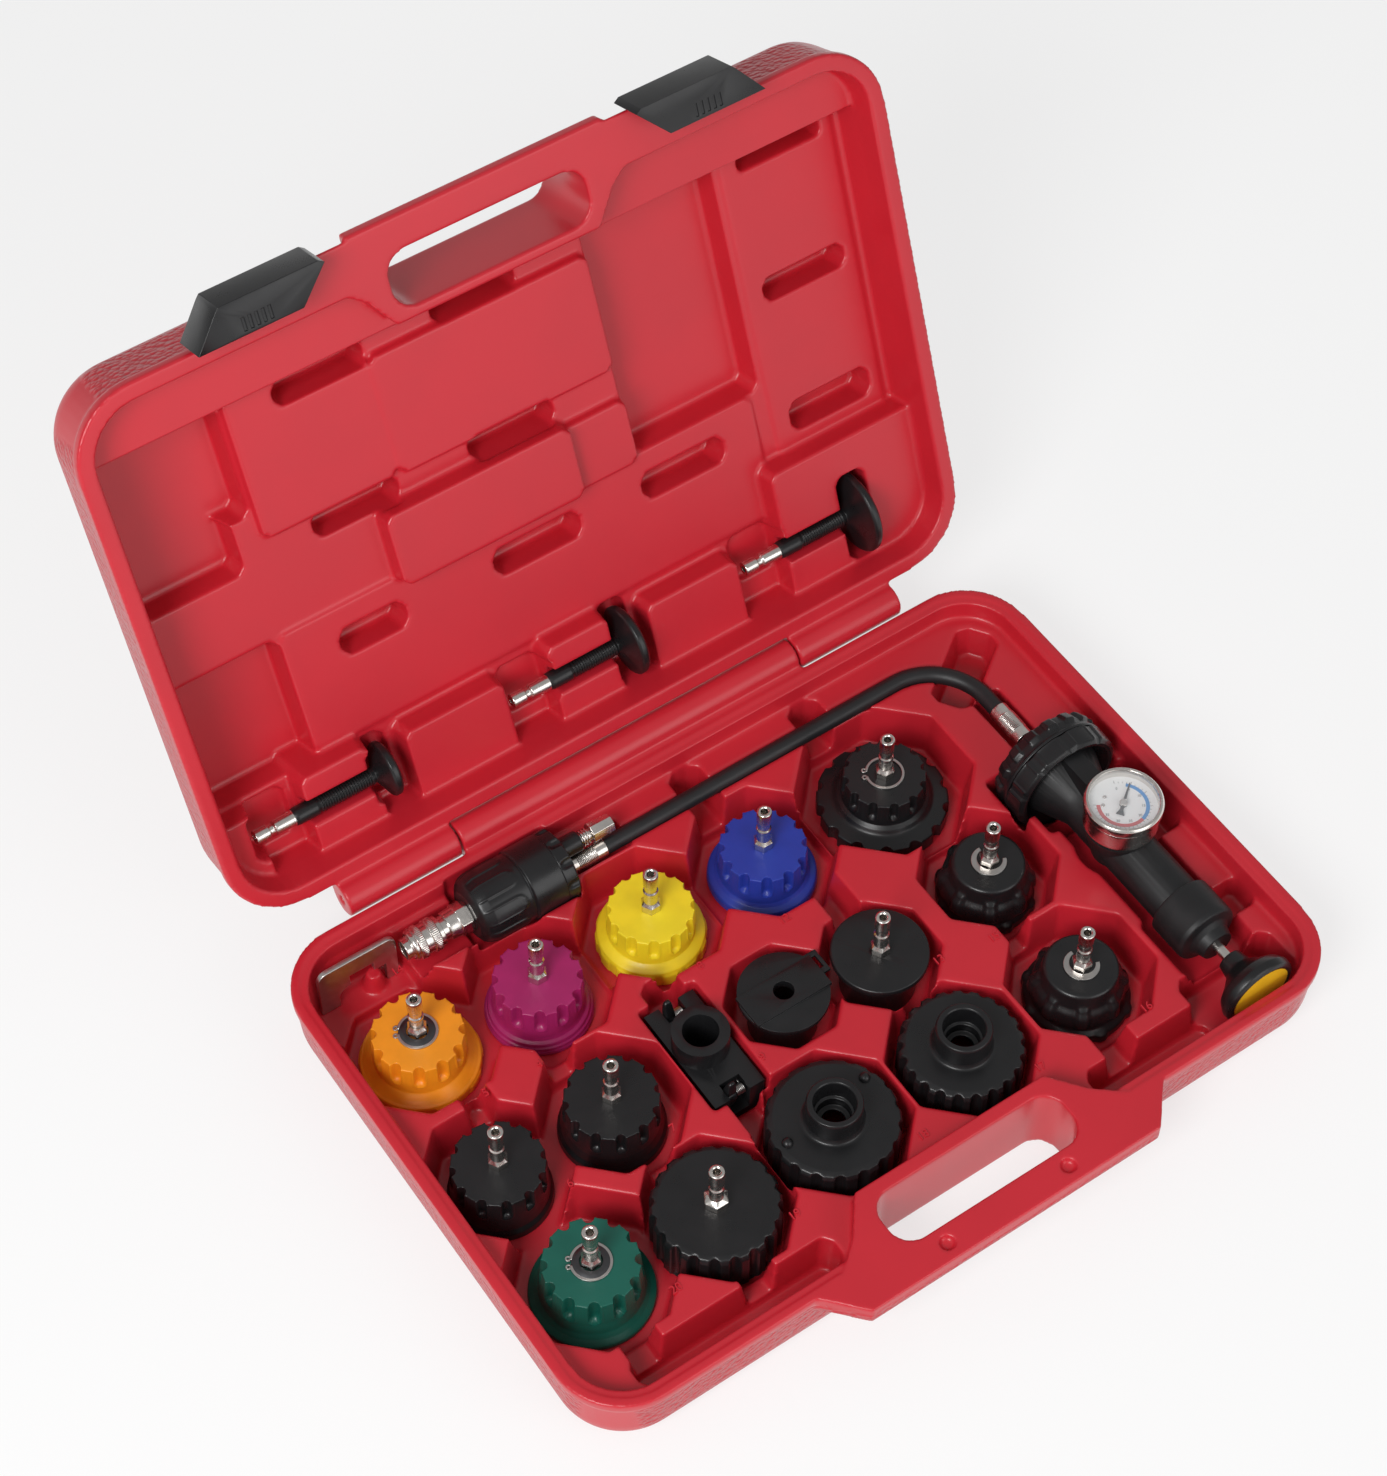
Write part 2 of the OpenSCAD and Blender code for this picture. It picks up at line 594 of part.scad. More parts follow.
module pump_head() color(black) difference() {
    union() {
        on_pump(ring_y) cylinder(h = head_y1 - ring_y - 3, r = head_r - 1.5);
        on_pump(head_y1 - 6) linear_extrude(6) union() {
            circle(head_r - 3);
            for (a = [0 : 22.5 : 359]) rotate(a) translate([head_r - 5, -2.8]) square([5, 5.6]);
        }
        translate([inlet_x, head_y1 - 1, hose_z]) rotate([-90, 0, 0]) cylinder(h = 15, r = 6.5);
    }
    translate([inlet_x, ring_y + 4, hose_z]) rotate([-90, 0, 0]) cylinder(h = 40, r = hose_bore);
}

// Ring nut that clamps the barrel's flange to the head
module head_ring() color(black) difference() {
    on_pump(head_y0) linear_extrude(ring_y - head_y0) union() {
        circle(head_r - 2);
        for (a = [0 : 36 : 359]) rotate(a + 18) translate([head_r - 6, 0]) circle(6);
    }
    on_pump(head_y0 - 0.01) cylinder(h = 5, r1 = head_r - 4, r2 = neck_r + 0.2);
    on_pump(head_y0 + 4) cylinder(h = 4, r = neck_r + 0.2);
    on_pump(head_y0 + 6.9) cylinder(h = ring_y - head_y0, r = flange_r + 0.1);
}

module pump_end_cap() color(black) difference() {
    union() {
        on_pump(end_y) cylinder(h = barrel_y - end_y, r = end_r);
        on_pump(end_y + 4) cylinder(h = 16, r = end_r - 0.5);
        on_pump(neck_y) cylinder(h = end_y - neck_y + 1, r1 = 9, r2 = 12);
    }
    on_pump(neck_y - 1) cylinder(h = barrel_y - neck_y + 2, r = rod_r + 0.05);
    on_pump(end_y + 6) cylinder(h = barrel_y - end_y, r = bore_r);
}

piston_y = barrel_y + 29;
module piston_rod() color(steel) union() {
    on_pump(knob_y - 4) cylinder(h = piston_y - knob_y + 4, r = rod_r);
    on_pump(piston_y) cylinder(h = 4, r = bore_r - 1);
    on_pump(piston_y + 4) cylinder(h = 8, r = 4);
}

module piston_cup() color(black) difference() {
    on_pump(piston_y + 4) cylinder(h = 7, r = bore_r - 0.05);
    on_pump(piston_y + 3) cylinder(h = 9, r = 4);
    on_pump(piston_y + 8) cylinder(h = 4, r1 = 6, r2 = bore_r - 1);
}

module pump_knob() color(black) difference() {
    translate([pump_x, 0, pump_z]) rotate([-90, 0, 0]) rotate_extrude()
        polygon([[0, knob_front + 2], [knob_r - 4, knob_front + 2], [knob_r - 4, knob_front],
            [knob_r - 1.5, knob_front + 0.5], [knob_r, knob_front + 3], [knob_r, knob_front + 6],
            [knob_r - 2, knob_front + 10], [11, knob_front + 15.5], [7, knob_front + 20], [6.5, knob_y],
            [0, knob_y]]);
    on_pump(knob_y - 4) cylinder(h = 5, r = rod_r);
}

module knob_disc() color("gold")
    on_pump(knob_front + 0.6) cylinder(h = 1.4, r = knob_r - 4.1);

module gauge_case() color(steel) translate([pump_x, gauge_y, gauge_z]) difference() {
    rotate_extrude()
        polygon([[0, 0], [gauge_r - 3, 0], [gauge_r - 0.8, 2], [gauge_r - 0.8, gauge_h - 6],
            [gauge_r, gauge_h - 5.5], [gauge_r, gauge_h - 1], [gauge_r - 1, gauge_h], [gauge_r - 2.2, gauge_h],
            [gauge_r - 2.2, gauge_h - 6.5], [0, gauge_h - 6.5]]);
    translate([0, gauge_r - 8, stem_z - gauge_z]) rotate([-90, 0, 0]) cylinder(h = 10, r = 3.55);
}

dial_z = gauge_z + gauge_h - 6.5;
module gauge_dial() color("white") translate([pump_x, gauge_y, dial_z])
    difference() {
        cylinder(h = 0.8, r = gauge_r - 2.4);
        translate([0, 0, -1]) cylinder(h = 3, r = 0.8);
    }

needle_angle = 37;
module gauge_needle() color(black) translate([pump_x, gauge_y, dial_z]) union() {
    cylinder(h = 1.6, r = 0.75);
    translate([0, 0, 1.2]) cylinder(h = 1.4, r = 2);
    translate([0, 0, 1.4]) rotate(needle_angle) linear_extrude(0.6)
        polygon([[0, -0.9], [14, -0.25], [14, 0.25], [0, 0.9], [-4, 0.9], [-7, 2.2], [-7, -2.2], [-4, -0.9]]);
}

module gauge_lens() color([0.8, 0.9, 0.95, 0.35]) translate([pump_x, gauge_y, dial_z + 4.2])
    cylinder(h = 1.3, r = gauge_r - 2.25);

module gauge_stem() color("goldenrod") translate([pump_x, gauge_y + gauge_r, stem_z]) rotate([-90, 0, 0]) {
    translate([0, 0, -8]) cylinder(h = 8.5, r = 3.5);
    cylinder(h = boss_y - gauge_y - gauge_r, r = 5.2, $fn = 6);
    translate([0, 0, boss_y - gauge_y - gauge_r - 0.5]) cylinder(h = 7, r = 3.5);
}

// ---------------------------------------------------------------- hose line

module hose_profile() {
    difference() {
        circle(hose_r, $fn = 32);
        circle(hose_bore, $fn = 32);
    }
}

inlet_y = head_y1 + 14;
module hose() color(black) {
    translate([cap_x1, hose_y, hose_z]) rotate([0, 90, 0])
        linear_extrude(inlet_x - bend_r - cap_x1) hose_profile();
    translate([inlet_x - bend_r, hose_y - bend_r, hose_z]) rotate_extrude(angle = 90)
        translate([bend_r, 0]) hose_profile();
    translate([inlet_x, hose_y - bend_r, hose_z]) rotate([90, 0, 0])
        linear_extrude(hose_y - bend_r - inlet_y) hose_profile();
}

module ferrule() difference() {
    union() {
        cylinder(h = ferrule_len, r = hose_r + 0.9);
        for (z = [4, 9, 14]) translate([0, 0, z]) cylinder(h = 1.4, r = hose_r + 1.2);
    }
    translate([0, 0, -1]) cylinder(h = ferrule_len + 2, r = hose_r + 0.05);
}

module hose_ferrules() color(steel) {
    translate([cap_x1 + 1, hose_y, hose_z]) rotate([0, 90, 0]) ferrule();
    translate([inlet_x, inlet_y, hose_z]) rotate([-90, 0, 0]) ferrule();
}

module grip_body() color(black) translate([body_x0, body_y, body_z]) rotate([0, 90, 0]) difference() {
    union() {
        rotate_extrude() polygon([[0, 0], [12, 0], [body_r - 3, 3], [body_r - 1, 7], [body_r - 1, 28],
            [body_r, 30], [body_r, body_x1 - body_x0], [0, body_x1 - body_x0]]);
        // long lobes
        for (a = [0 : 45 : 359]) rotate(a + 22) translate([body_r - 2.4, 0, 6]) {
            cylinder(h = 20, r = 2.4);
            translate([0, 0, 20]) sphere(2.4);
        }
    }
    cylinder(h = 22, r = 5, center = true);
}

module grip_cap() color(black) translate([body_x1, body_y, body_z]) rotate([0, 90, 0]) difference() {
    union() {
        linear_extrude(cap_x1 - body_x1) difference() {
            circle(body_r - 0.3);
            for (a = [0 : 45 : 359]) rotate(a) translate([body_r + 1.4, 0]) circle(3, $fn = 32);
        }
        // neck of the relief valve
        translate([body_z - relief_z, relief_y - body_y, 2]) cylinder(h = cap_x1 - body_x1 + neck_l - 2, r = 5.8);
    }
    translate([body_z - hose_z, hose_y - body_y, 2]) cylinder(h = 20, r = hose_bore);
    translate([body_z - relief_z, relief_y - body_y, cap_x1 - body_x1 + neck_l - 4.1]) cylinder(h = 5, r = 3.45);
    translate([body_z - relief_z, relief_y - body_y, 3]) cylinder(h = 20, r = 1.8);
}

// Valve stem's rings between the black neck and the knob
neck_l = 13;
module relief_neck() color(steel) translate([cap_x1 + neck_l, relief_y, relief_z]) rotate([0, 90, 0]) difference() {
    union() {
        translate([0, 0, -4]) cylinder(h = 10.2, r = 3.4);
        for (z = [0.4 : 1.6 : 5]) translate([0, 0, z]) cylinder(h = 1, r = 4.6);
    }
    translate([0, 0, -5]) cylinder(h = 20, r = 1.8);
}

module relief_knob() color(steel) translate([cap_x1 + neck_l + 6.4, relief_y, relief_z]) rotate([0, 90, 0]) {
    cylinder(h = 13, r1 = 6, r2 = 5.4, $fn = 8);
    translate([0, 0, -9 - relief_travel]) cylinder(h = 10 + relief_travel, r = 1.75);
}

sleeve_l = 18;
sleeve_x0 = coupler_x + 4;
module coupler_body() color(steel) translate([coupler_x, body_y, body_z]) rotate([0, 90, 0]) difference() {
    union() {
        cylinder(h = 3.5, r = 5.9);
        cylinder(h = 34, r = 6.5);
        translate([0, 0, 4 + sleeve_l + sleeve_travel + slop]) cylinder(h = 7.5, r1 = 7.8, r2 = 8.4);
        translate([0, 0, 32]) cylinder(h = 7, r = 9.2, $fn = 6);
        translate([0, 0, 38]) cylinder(h = 12, r = 4.95);
    }
    translate([0, 0, -1]) cylinder(h = 20, r = nipple_r + 0.12);
    translate([0, 0, 15]) cylinder(h = 40, r = 2);
}

module coupler_sleeve() color(steel) translate([sleeve_x0, body_y, body_z]) rotate([0, 90, 0]) difference() {
    union() {
        cylinder(h = sleeve_l, r = 8.3);
        for (z = [2.5, 11]) translate([0, 0, z]) cylinder(h = 4.5, r = 9.2);
    }
    translate([0, 0, -1]) cylinder(h = sleeve_l + 2, r = 6.55);
}

module bracket_plate() color(steel)
    translate([bracket_x, bracket_y, 12]) rotate([90, 0, 0]) linear_extrude(3) difference() {
        union() {
            square([46, 29]);
            translate([6, 0]) square([34, 35]);
            for (x = [6, 40]) translate([x, 29]) circle(6);
        }
        // arch
        translate([25, -1]) square([14, 16]);
        translate([25, 15]) circle(7);
        translate([11, -1]) square([14, 8]);
        translate([18, 7]) circle(7);
        translate([18, 7]) square([14, 15]);
    }

// ---------------------------------------------------------------- adapters

// Push-in nipple with its hex foot and its shank through the cap
module nipple(foot = 4.8, top = cap_top) {
    h = nipple_h;
    translate([0, 0, top]) difference() {
        union() {
            cylinder(h = h * 0.2, r = foot, $fn = 6);
            rotate_extrude()
                polygon([[0, 0], [3, 0], [3, h * 0.2], [foot - 1, h * 0.2], [3, h * 0.27], [3, h * 0.44],
                    [nipple_r, h * 0.48], [nipple_r, h * 0.62], [3, h * 0.65], [3, h * 0.72],
                    [nipple_r, h * 0.75], [nipple_r, h - 0.8], [nipple_r - 0.8, h], [0, h]]);
        }
        translate([0, 0, h - 12]) cylinder(h = 13, r = 1.7);
    }
    translate([0, 0, top - cap_wall - 2]) cylinder(h = cap_wall + 2.5, r = shank_r);
}

// Flat ring, such as a washer or a circlip with a gap
module ring(r_out, r_in, h, gap = 0) {
    difference() {
        cylinder(h = h, r = r_out);
        translate([0, 0, -1]) cylinder(h = h + 2, r = r_in);
        if (gap > 0) translate([-r_out - 1, -gap / 2, -1]) cube([r_out + 1, gap, h + 2]);
    }
}

// Body of a cap turned about its axis: side is a list of [r, z] from the top down
module turned_cap(side, r_in, z_in) {
    difference() {
        rotate_extrude() polygon(concat([[0, side[0][1]]], side, [[0, side[len(side) - 1][1]]]));
        translate([0, 0, floor_z - 1]) cylinder(h = z_in - floor_z + 1, r = r_in);
        translate([0, 0, z_in - 1]) cylinder(h = cap_top, r = shank_r + shank_gap);
    }
}

// Cap with a fluted drum on a stepped skirt
module fluted_cap(at, r_top, r_skirt, z_skirt, drum = 17) {
    z_drum = cap_top - drum;
    translate([at[0], at[1], 0]) difference() {
        union() {
            translate([0, 0, z_drum]) linear_extrude(drum) difference() {
                circle(r_top);
                for (a = [0 : 360 / flutes : 359])
                    rotate(a) translate([r_top + 0.8, 0]) circle(3, $fn = 32);
            }
            rotate_extrude() polygon([[0, floor_z], [r_skirt, floor_z], [r_skirt, z_skirt],
                [r_skirt - 1.5, z_skirt + 1.5], [r_top + 2, z_skirt + 4], [r_top + 0.6, z_drum + 2],
                [0, z_drum + 2]]);
        }
        translate([0, 0, floor_z - 1]) cylinder(h = cap_top - cap_wall - floor_z + 1, r = r_top - cap_wall);
        translate([0, 0, cap_top - cap_wall - 1]) cylinder(h = cap_wall + 2, r = shank_r + shank_gap);
    }
}

module fitting_at(at, clip = 0, foot = 4.8) {
    translate([at[0], at[1], 0]) {
        nipple(foot);
        if (clip > 0) translate([0, 0, cap_top]) ring(clip, foot - 1, 1.2, 4);
    }
}

module cap_orange() color("orange") fluted_cap(at_orange, 23.5, skirt_orange, 11);
module fitting_orange() color(steel) fitting_at(at_orange, 10.5);
module cap_purple() color("#a3276b") fluted_cap(at_purple, 23, skirt_purple, 9);
module fitting_purple() color(steel) fitting_at(at_purple);
module cap_yellow() color("yellow") fluted_cap(at_yellow, 22.5, skirt_yellow, 14);
module fitting_yellow() color(steel) fitting_at(at_yellow);
module cap_blue() color("#2f3fae") fluted_cap(at_blue, 23, skirt_blue, 12);
module fitting_blue() color(steel) fitting_at(at_blue);
module cap_black_1() color(black) fluted_cap(at_black_1, 23.5, skirt_black_1, 8);
module fitting_black_1() color(steel) fitting_at(at_black_1);
module cap_black_2() color(black) fluted_cap(at_black_2, 24, skirt_black_2, 8);
module fitting_black_2() color(steel) fitting_at(at_black_2);
module cap_green() color("#1f6b55") fluted_cap(at_green, 24, skirt_green, 8.5);
module fitting_green() color(steel) fitting_at(at_green, 10.5);
module fitting_two_step() color(steel) fitting_at(at_two_step, 10);
module fitting_scalloped() color(steel) fitting_at(at_scalloped, 0, 6.4);
module fitting_dome_1() color(steel) fitting_at(at_dome_1, 9.5);
module fitting_dome_2() color(steel) fitting_at(at_dome_2, 9.5);
module fitting_disc() color(steel) fitting_at(at_disc);

module cap_two_step() color(black) union() {
    fluted_cap(at_two_step, 22, 27, 16, 14);
    translate([at_two_step[0], at_two_step[1], floor_z]) linear_extrude(10) difference() {
        circle(skirt_two_step);
        circle(24);
        for (a = [0 : 24 : 359]) rotate(a) translate([skirt_two_step + 1, 0]) circle(3.4, $fn = 32);
    }
}

// Cap with scallops round its whole side
module scalloped_body(r, count, bite) {
    difference() {
        translate([0, 0, floor_z + 2]) linear_extrude(cap_top - floor_z - 3) difference() {
            circle(r);
            for (a = [0 : 360 / count : 359]) rotate(a) translate([r + bite * 0.35, 0]) circle(bite, $fn = 32);
        }
        translate([0, 0, floor_z - 1]) cylinder(h = cap_top - cap_wall - floor_z + 1, r = r - 8);
    }
    difference() {
        union() {
            translate([0, 0, cap_top - 1.5]) cylinder(h = 1.5, r1 = r - 1.5, r2 = r - 3);
            translate([0, 0, floor_z]) cylinder(h = 3, r = r - 3);
        }
        translate([0, 0, floor_z - 1]) cylinder(h = cap_top - cap_wall - floor_z + 1, r = r - 8);
    }
}

module cap_scalloped() color(black) translate([at_scalloped[0], at_scalloped[1], 0]) difference() {
    scalloped_body(scallop_r, 20, 3);
    translate([0, 0, floor_z]) cylinder(h = cap_top, r = shank_r + shank_gap);
}

// Cap with an open collar, a ring that stands in a seat of its own, which takes a filler-neck tube
collar_top = 52;
module open_collar_cap(at, r, count, bite) {
    translate([at[0], at[1], 0]) {
        difference() {
            union() {
                scalloped_body(r, count, bite);
                children();
            }
            translate([0, 0, cap_top - 2]) cylinder(h = 40, r = collar_r + 0.05);
            translate([0, 0, floor_z]) cylinder(h = 60, r = 6);
        }
        translate([0, 0, cap_top - 1.95]) difference() {
            union() {
                cylinder(h = collar_top - cap_top + 1.95, r = collar_r);
                translate([0, 0, 2]) cylinder(h = 5, r1 = collar_r + 3, r2 = collar_r);
            }
            translate([0, 0, 3]) cylinder(h = 40, r = collar_r - 4);
            translate([0, 0, -1]) cylinder(h = 60, r = 6);
        }
    }
}

module collar_ball() color(black) open_collar_cap(at_ball, ball_r, 18, 3)
    for (a = [178, 20]) rotate(a) translate([ball_r - 7, 0, cap_top]) sphere(3);

module collar_notched() color(black) open_collar_cap(at_notched, notched_r, 22, 3.4);

// Cap with a plain domed top, a lower skirt and eight grip ribs
module dome_cap(at, r_top, r_skirt) {
    translate([at[0], at[1], 0]) {
        turned_cap([[r_top - 2, cap_top], [r_top, cap_top - 1.5], [r_top + 2, cap_top - 9],
            [r_top + 4, cap_top - 11], [r_top + 4.5, floor_z + 6], [r_skirt, floor_z + 4], [r_skirt, floor_z]],
            r_top - 3, cap_top - cap_wall);
        difference() {
            for (a = [0 : 45 : 359]) rotate(a + 10) translate([r_top + 4, 0, floor_z + 5]) cylinder(h = 14, r = 2.2);
            translate([0, 0, floor_z]) cylinder(h = 30, r = r_top - 1);
        }
    }
}

module cap_dome_1() color(black) dome_cap(at_dome_1, 19, skirt_dome_1);
module cap_dome_2() color(black) dome_cap(at_dome_2, 19, skirt_dome_2);

module disc_adapter() color(black) translate([at_disc[0], at_disc[1], 0])
    turned_cap([[disc_r - 0.6, cap_top], [disc_r, cap_top - 1], [disc_r, cap_top - 4], [20, cap_top - 5],
        [20, floor_z]], 15, cap_top - cap_wall);

module bayonet_plate() color(black) translate([at_plate[0], at_plate[1], 0]) difference() {
    union() {
        translate([0, 0, 33]) cylinder(h = 3, r = plate_r);
        translate([0, 0, floor_z]) cylinder(h = 28, r = 18);
        translate([-plate_r + 1, -10, 35]) cube([2 * plate_r - 2, 20, 2.5]);
        // loop tab
        translate([plate_r - 4, -2, 34]) cube([8, 14, 2]);
    }
    translate([0, 0, floor_z - 1]) cylinder(h = 27, r = 14);
    translate([0, 0, 0]) cylinder(h = 60, r = 5.5);
    translate([plate_r - 1, 1, 30]) cube([3, 8, 12]);
}

lever_pin_z = 24;
lever_pin_r = 1.2;
lever_slot = 12;
module lever_adapter() color(black) translate([at_lever[0], at_lever[1], 0]) difference() {
    union() {
        translate([-lever_w / 2, -lever_l / 2, floor_z]) cube([lever_w, lever_l, 23]);
        translate([0, 3, 28]) cylinder(h = 14, r = 15);
    }
    translate([0, 3, 10]) cylinder(h = 40, r = 9.5);
    for (sy = [-1, 1]) {
        // slot of a lever and the bores of its pin
        translate([-lever_slot / 2, sy > 0 ? 22 : -33, 12]) cube([lever_slot, 11, 30]);
        translate([-lever_w / 2 + 3, sy * 27, lever_pin_z]) rotate([0, 90, 0])
            cylinder(h = lever_w - 6, r = lever_pin_r + 0.05);
    }
}

// Coil along +Z as one unbroken tube: 8 rings to a turn, 6 sides to a ring
coil_r = 2.4;
wire_r = 0.35;
coil_turns = 6;
coil_pitch = 0.85;
function coil_ring(i) =
    let(a = 45 * i, z = coil_pitch * i / 8)
    [for (j = [0 : 5]) let(b = 60 * j, r = coil_r + wire_r * cos(b))
        [r * cos(a), r * sin(a), z + wire_r * sin(b)]];
module coil() {
    n = 8 * coil_turns;
    polyhedron([for (i = [0 : n]) each coil_ring(i)], concat(
        [[5, 4, 3, 2, 1, 0]],
        [for (i = [0 : n - 1], j = [0 : 5]) let(k = (j + 1) % 6)
            [6 * i + j, 6 * i + k, 6 * i + 6 + k, 6 * i + 6 + j]],
        [[for (j = [0 : 5]) 6 * n + j]]));
}
echo(gap_between_turns = coil_pitch - 2 * wire_r, coil_to_pin = coil_r - wire_r - lever_pin_r);

// Lever on a pin across its slot, with its torsion spring beside it on the pin
module lever_at(sy) {
    translate([at_lever[0], at_lever[1] + sy * 27, lever_pin_z]) {
        translate([-5.6, -2.5, -8]) cube([5.2, 5, 22]);
        translate([-5.6, 0, 0]) rotate([0, 90, 0]) cylinder(h = 5.2, r = 3.6);
        translate([-lever_w / 2 + 3.1, 0, 0]) rotate([0, 90, 0]) cylinder(h = lever_w - 6.2, r = lever_pin_r);
        translate([0.1, 0, 0]) rotate([0, 90, 0]) coil();
    }
}

module lever_front() color(black) lever_at(-1);
module lever_back() color(black) lever_at(1);

// ---------------------------------------------------------------- plugs in the lid

module plug(i) {
    swing() translate([0, plug_y[i], plug_z]) rotate([0, 90, 0]) {
        x0 = plug_x0[i];
        x1 = plug_x1[i];
        translate([0, 0, x0]) difference() {
            rotate_extrude() polygon([[0, 0], [nipple_r - 0.8, 0], [nipple_r, 0.8], [nipple_r, 8], [3, 9],
                [3, 11], [nipple_r, 12], [nipple_r + 0.4, 24], [0, 24]]);
            translate([0, 0, -1]) cylinder(h = 12, r = 1.6);
        }
        translate([0, 0, x0 + 24]) cylinder(h = 12, r = stem_r);
        translate([0, 0, x0 + 36]) cylinder(h = x1 - x0 - 35, r = stem_r - 1);
        for (z = [x0 + 37 : 2.4 : x1 - 3]) translate([0, 0, z]) cylinder(h = 1.2, r = stem_r - 0.2);
        translate([0, 0, x1]) rotate_extrude() polygon([[0, 0], [plug_r[i] - 1, 5], [plug_r[i], 6],
            [plug_r[i], 8.5], [plug_r[i] - 1.5, 10], [plug_r[i] * 0.6, flange_t], [0, flange_t]]);
    }
}

module plug_1() color(black) plug(0);
module plug_2() color(black) plug(1);
module plug_3() color(black) plug(2);

tray();
lid();
hinge_pin();
latch_left();
latch_right();
pump_barrel();
pump_head();
head_ring();
pump_end_cap();
piston_rod();
piston_cup();
pump_knob();
knob_disc();
gauge_case();
gauge_dial();
gauge_needle();
gauge_lens();
gauge_stem();
hose();
hose_ferrules();
grip_body();
grip_cap();
relief_neck();
relief_knob();
coupler_body();
coupler_sleeve();
bracket_plate();
cap_orange();
fitting_orange();
cap_purple();
fitting_purple();
cap_yellow();
fitting_yellow();
cap_blue();
fitting_blue();
cap_two_step();
fitting_two_step();
cap_black_1();
fitting_black_1();
cap_black_2();
fitting_black_2();
cap_green();
fitting_green();
cap_scalloped();
fitting_scalloped();
cap_dome_1();
fitting_dome_1();
cap_dome_2();
fitting_dome_2();
disc_adapter();
fitting_disc();
lever_adapter();
lever_front();
lever_back();
bayonet_plate();
collar_ball();
collar_notched();
plug_1();
plug_2();
plug_3();
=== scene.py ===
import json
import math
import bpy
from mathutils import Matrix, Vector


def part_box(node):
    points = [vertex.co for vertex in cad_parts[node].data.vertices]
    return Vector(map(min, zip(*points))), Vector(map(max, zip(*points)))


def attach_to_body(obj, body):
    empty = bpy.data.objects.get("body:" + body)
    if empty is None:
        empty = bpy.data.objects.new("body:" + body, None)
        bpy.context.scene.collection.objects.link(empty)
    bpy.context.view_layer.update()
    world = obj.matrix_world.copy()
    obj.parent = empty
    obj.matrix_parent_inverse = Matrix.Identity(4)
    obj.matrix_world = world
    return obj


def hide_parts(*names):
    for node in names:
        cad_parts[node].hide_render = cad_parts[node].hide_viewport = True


bl_info = {
    "name": "Pressure Tester Kit",
    "version": (1, 0, 0),
    "blender": (4, 5, 0),
    "location": "View3D > Sidebar > Tester Kit",
    "description": "Dresses a cooling-system pressure tester kit in its moulded case",
    "category": "Object",
}

import bmesh
import bpy
import numpy as np
from bpy.props import FloatProperty, FloatVectorProperty, IntProperty, PointerProperty
from mathutils import Matrix, Vector

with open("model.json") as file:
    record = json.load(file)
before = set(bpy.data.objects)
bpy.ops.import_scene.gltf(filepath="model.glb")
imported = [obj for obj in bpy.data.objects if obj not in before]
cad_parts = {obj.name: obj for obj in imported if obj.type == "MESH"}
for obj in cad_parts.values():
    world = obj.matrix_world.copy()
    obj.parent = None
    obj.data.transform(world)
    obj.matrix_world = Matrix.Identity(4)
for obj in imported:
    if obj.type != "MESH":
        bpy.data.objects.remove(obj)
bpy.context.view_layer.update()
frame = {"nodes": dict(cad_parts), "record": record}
RECORD = frame["record"]
BODY_OF = {node: body for body, nodes in RECORD["behaviour"]["bodies"].items() for node in nodes}
JOINT = {joint["name"]: joint for joint in RECORD["behaviour"]["joints"]}
MM = 0.001
TURN = 2 * math.pi
MERGE = 2e-6  # points nearer than this are one point, in metres
FLAT = math.radians(1.2)  # faces that differ by less are made one flat face
SHARP = math.radians(28)  # edges sharper than this are rounded
HOSE_R = 4.8  # the hose's outer radius


def box_mm(node):
    """Lowest and highest corner of a CAD node, in millimetres."""
    low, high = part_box(node)
    return np.array(low) / MM, np.array(high) / MM


def middle(node):
    """Middle of a CAD node's box, in millimetres."""
    low, high = box_mm(node)
    return (low + high) / 2


def half_width(node):
    """Half of a CAD node's width along X, in millimetres."""
    low, high = box_mm(node)
    return (high[0] - low[0]) / 2


# ------------------------------------------------------------------ places


def standing(x, y, z=0.0):
    """Matrix that sets a form drawn round Z on its place."""
    return Matrix.Translation((x, y, z))


def lying_y(x, z, y=0.0):
    """Matrix that lays a form drawn round Z along +Y, with its +Y drawn side downwards."""
    return Matrix.Translation((x, y, z)) @ Matrix.Rotation(-math.pi / 2, 4, "X")


def lying_x(y, z, x=0.0):
    """Matrix that lays a form drawn round Z along +X."""
    return Matrix.Translation((x, y, z)) @ Matrix.Rotation(math.pi / 2, 4, "Y")


def opened():
    """Matrix that carries the closed lid's places to the open lid, about the hinge pin."""
    pin = Vector(JOINT["lid_hinge"]["pos_m"]) / MM
    angle = math.radians(JOINT["lid_hinge"]["range_deg"][0])
    return Matrix.Translation(pin) @ Matrix.Rotation(angle, 4, "X") @ Matrix.Translation(-pin)


# ------------------------------------------------------------------ shapes


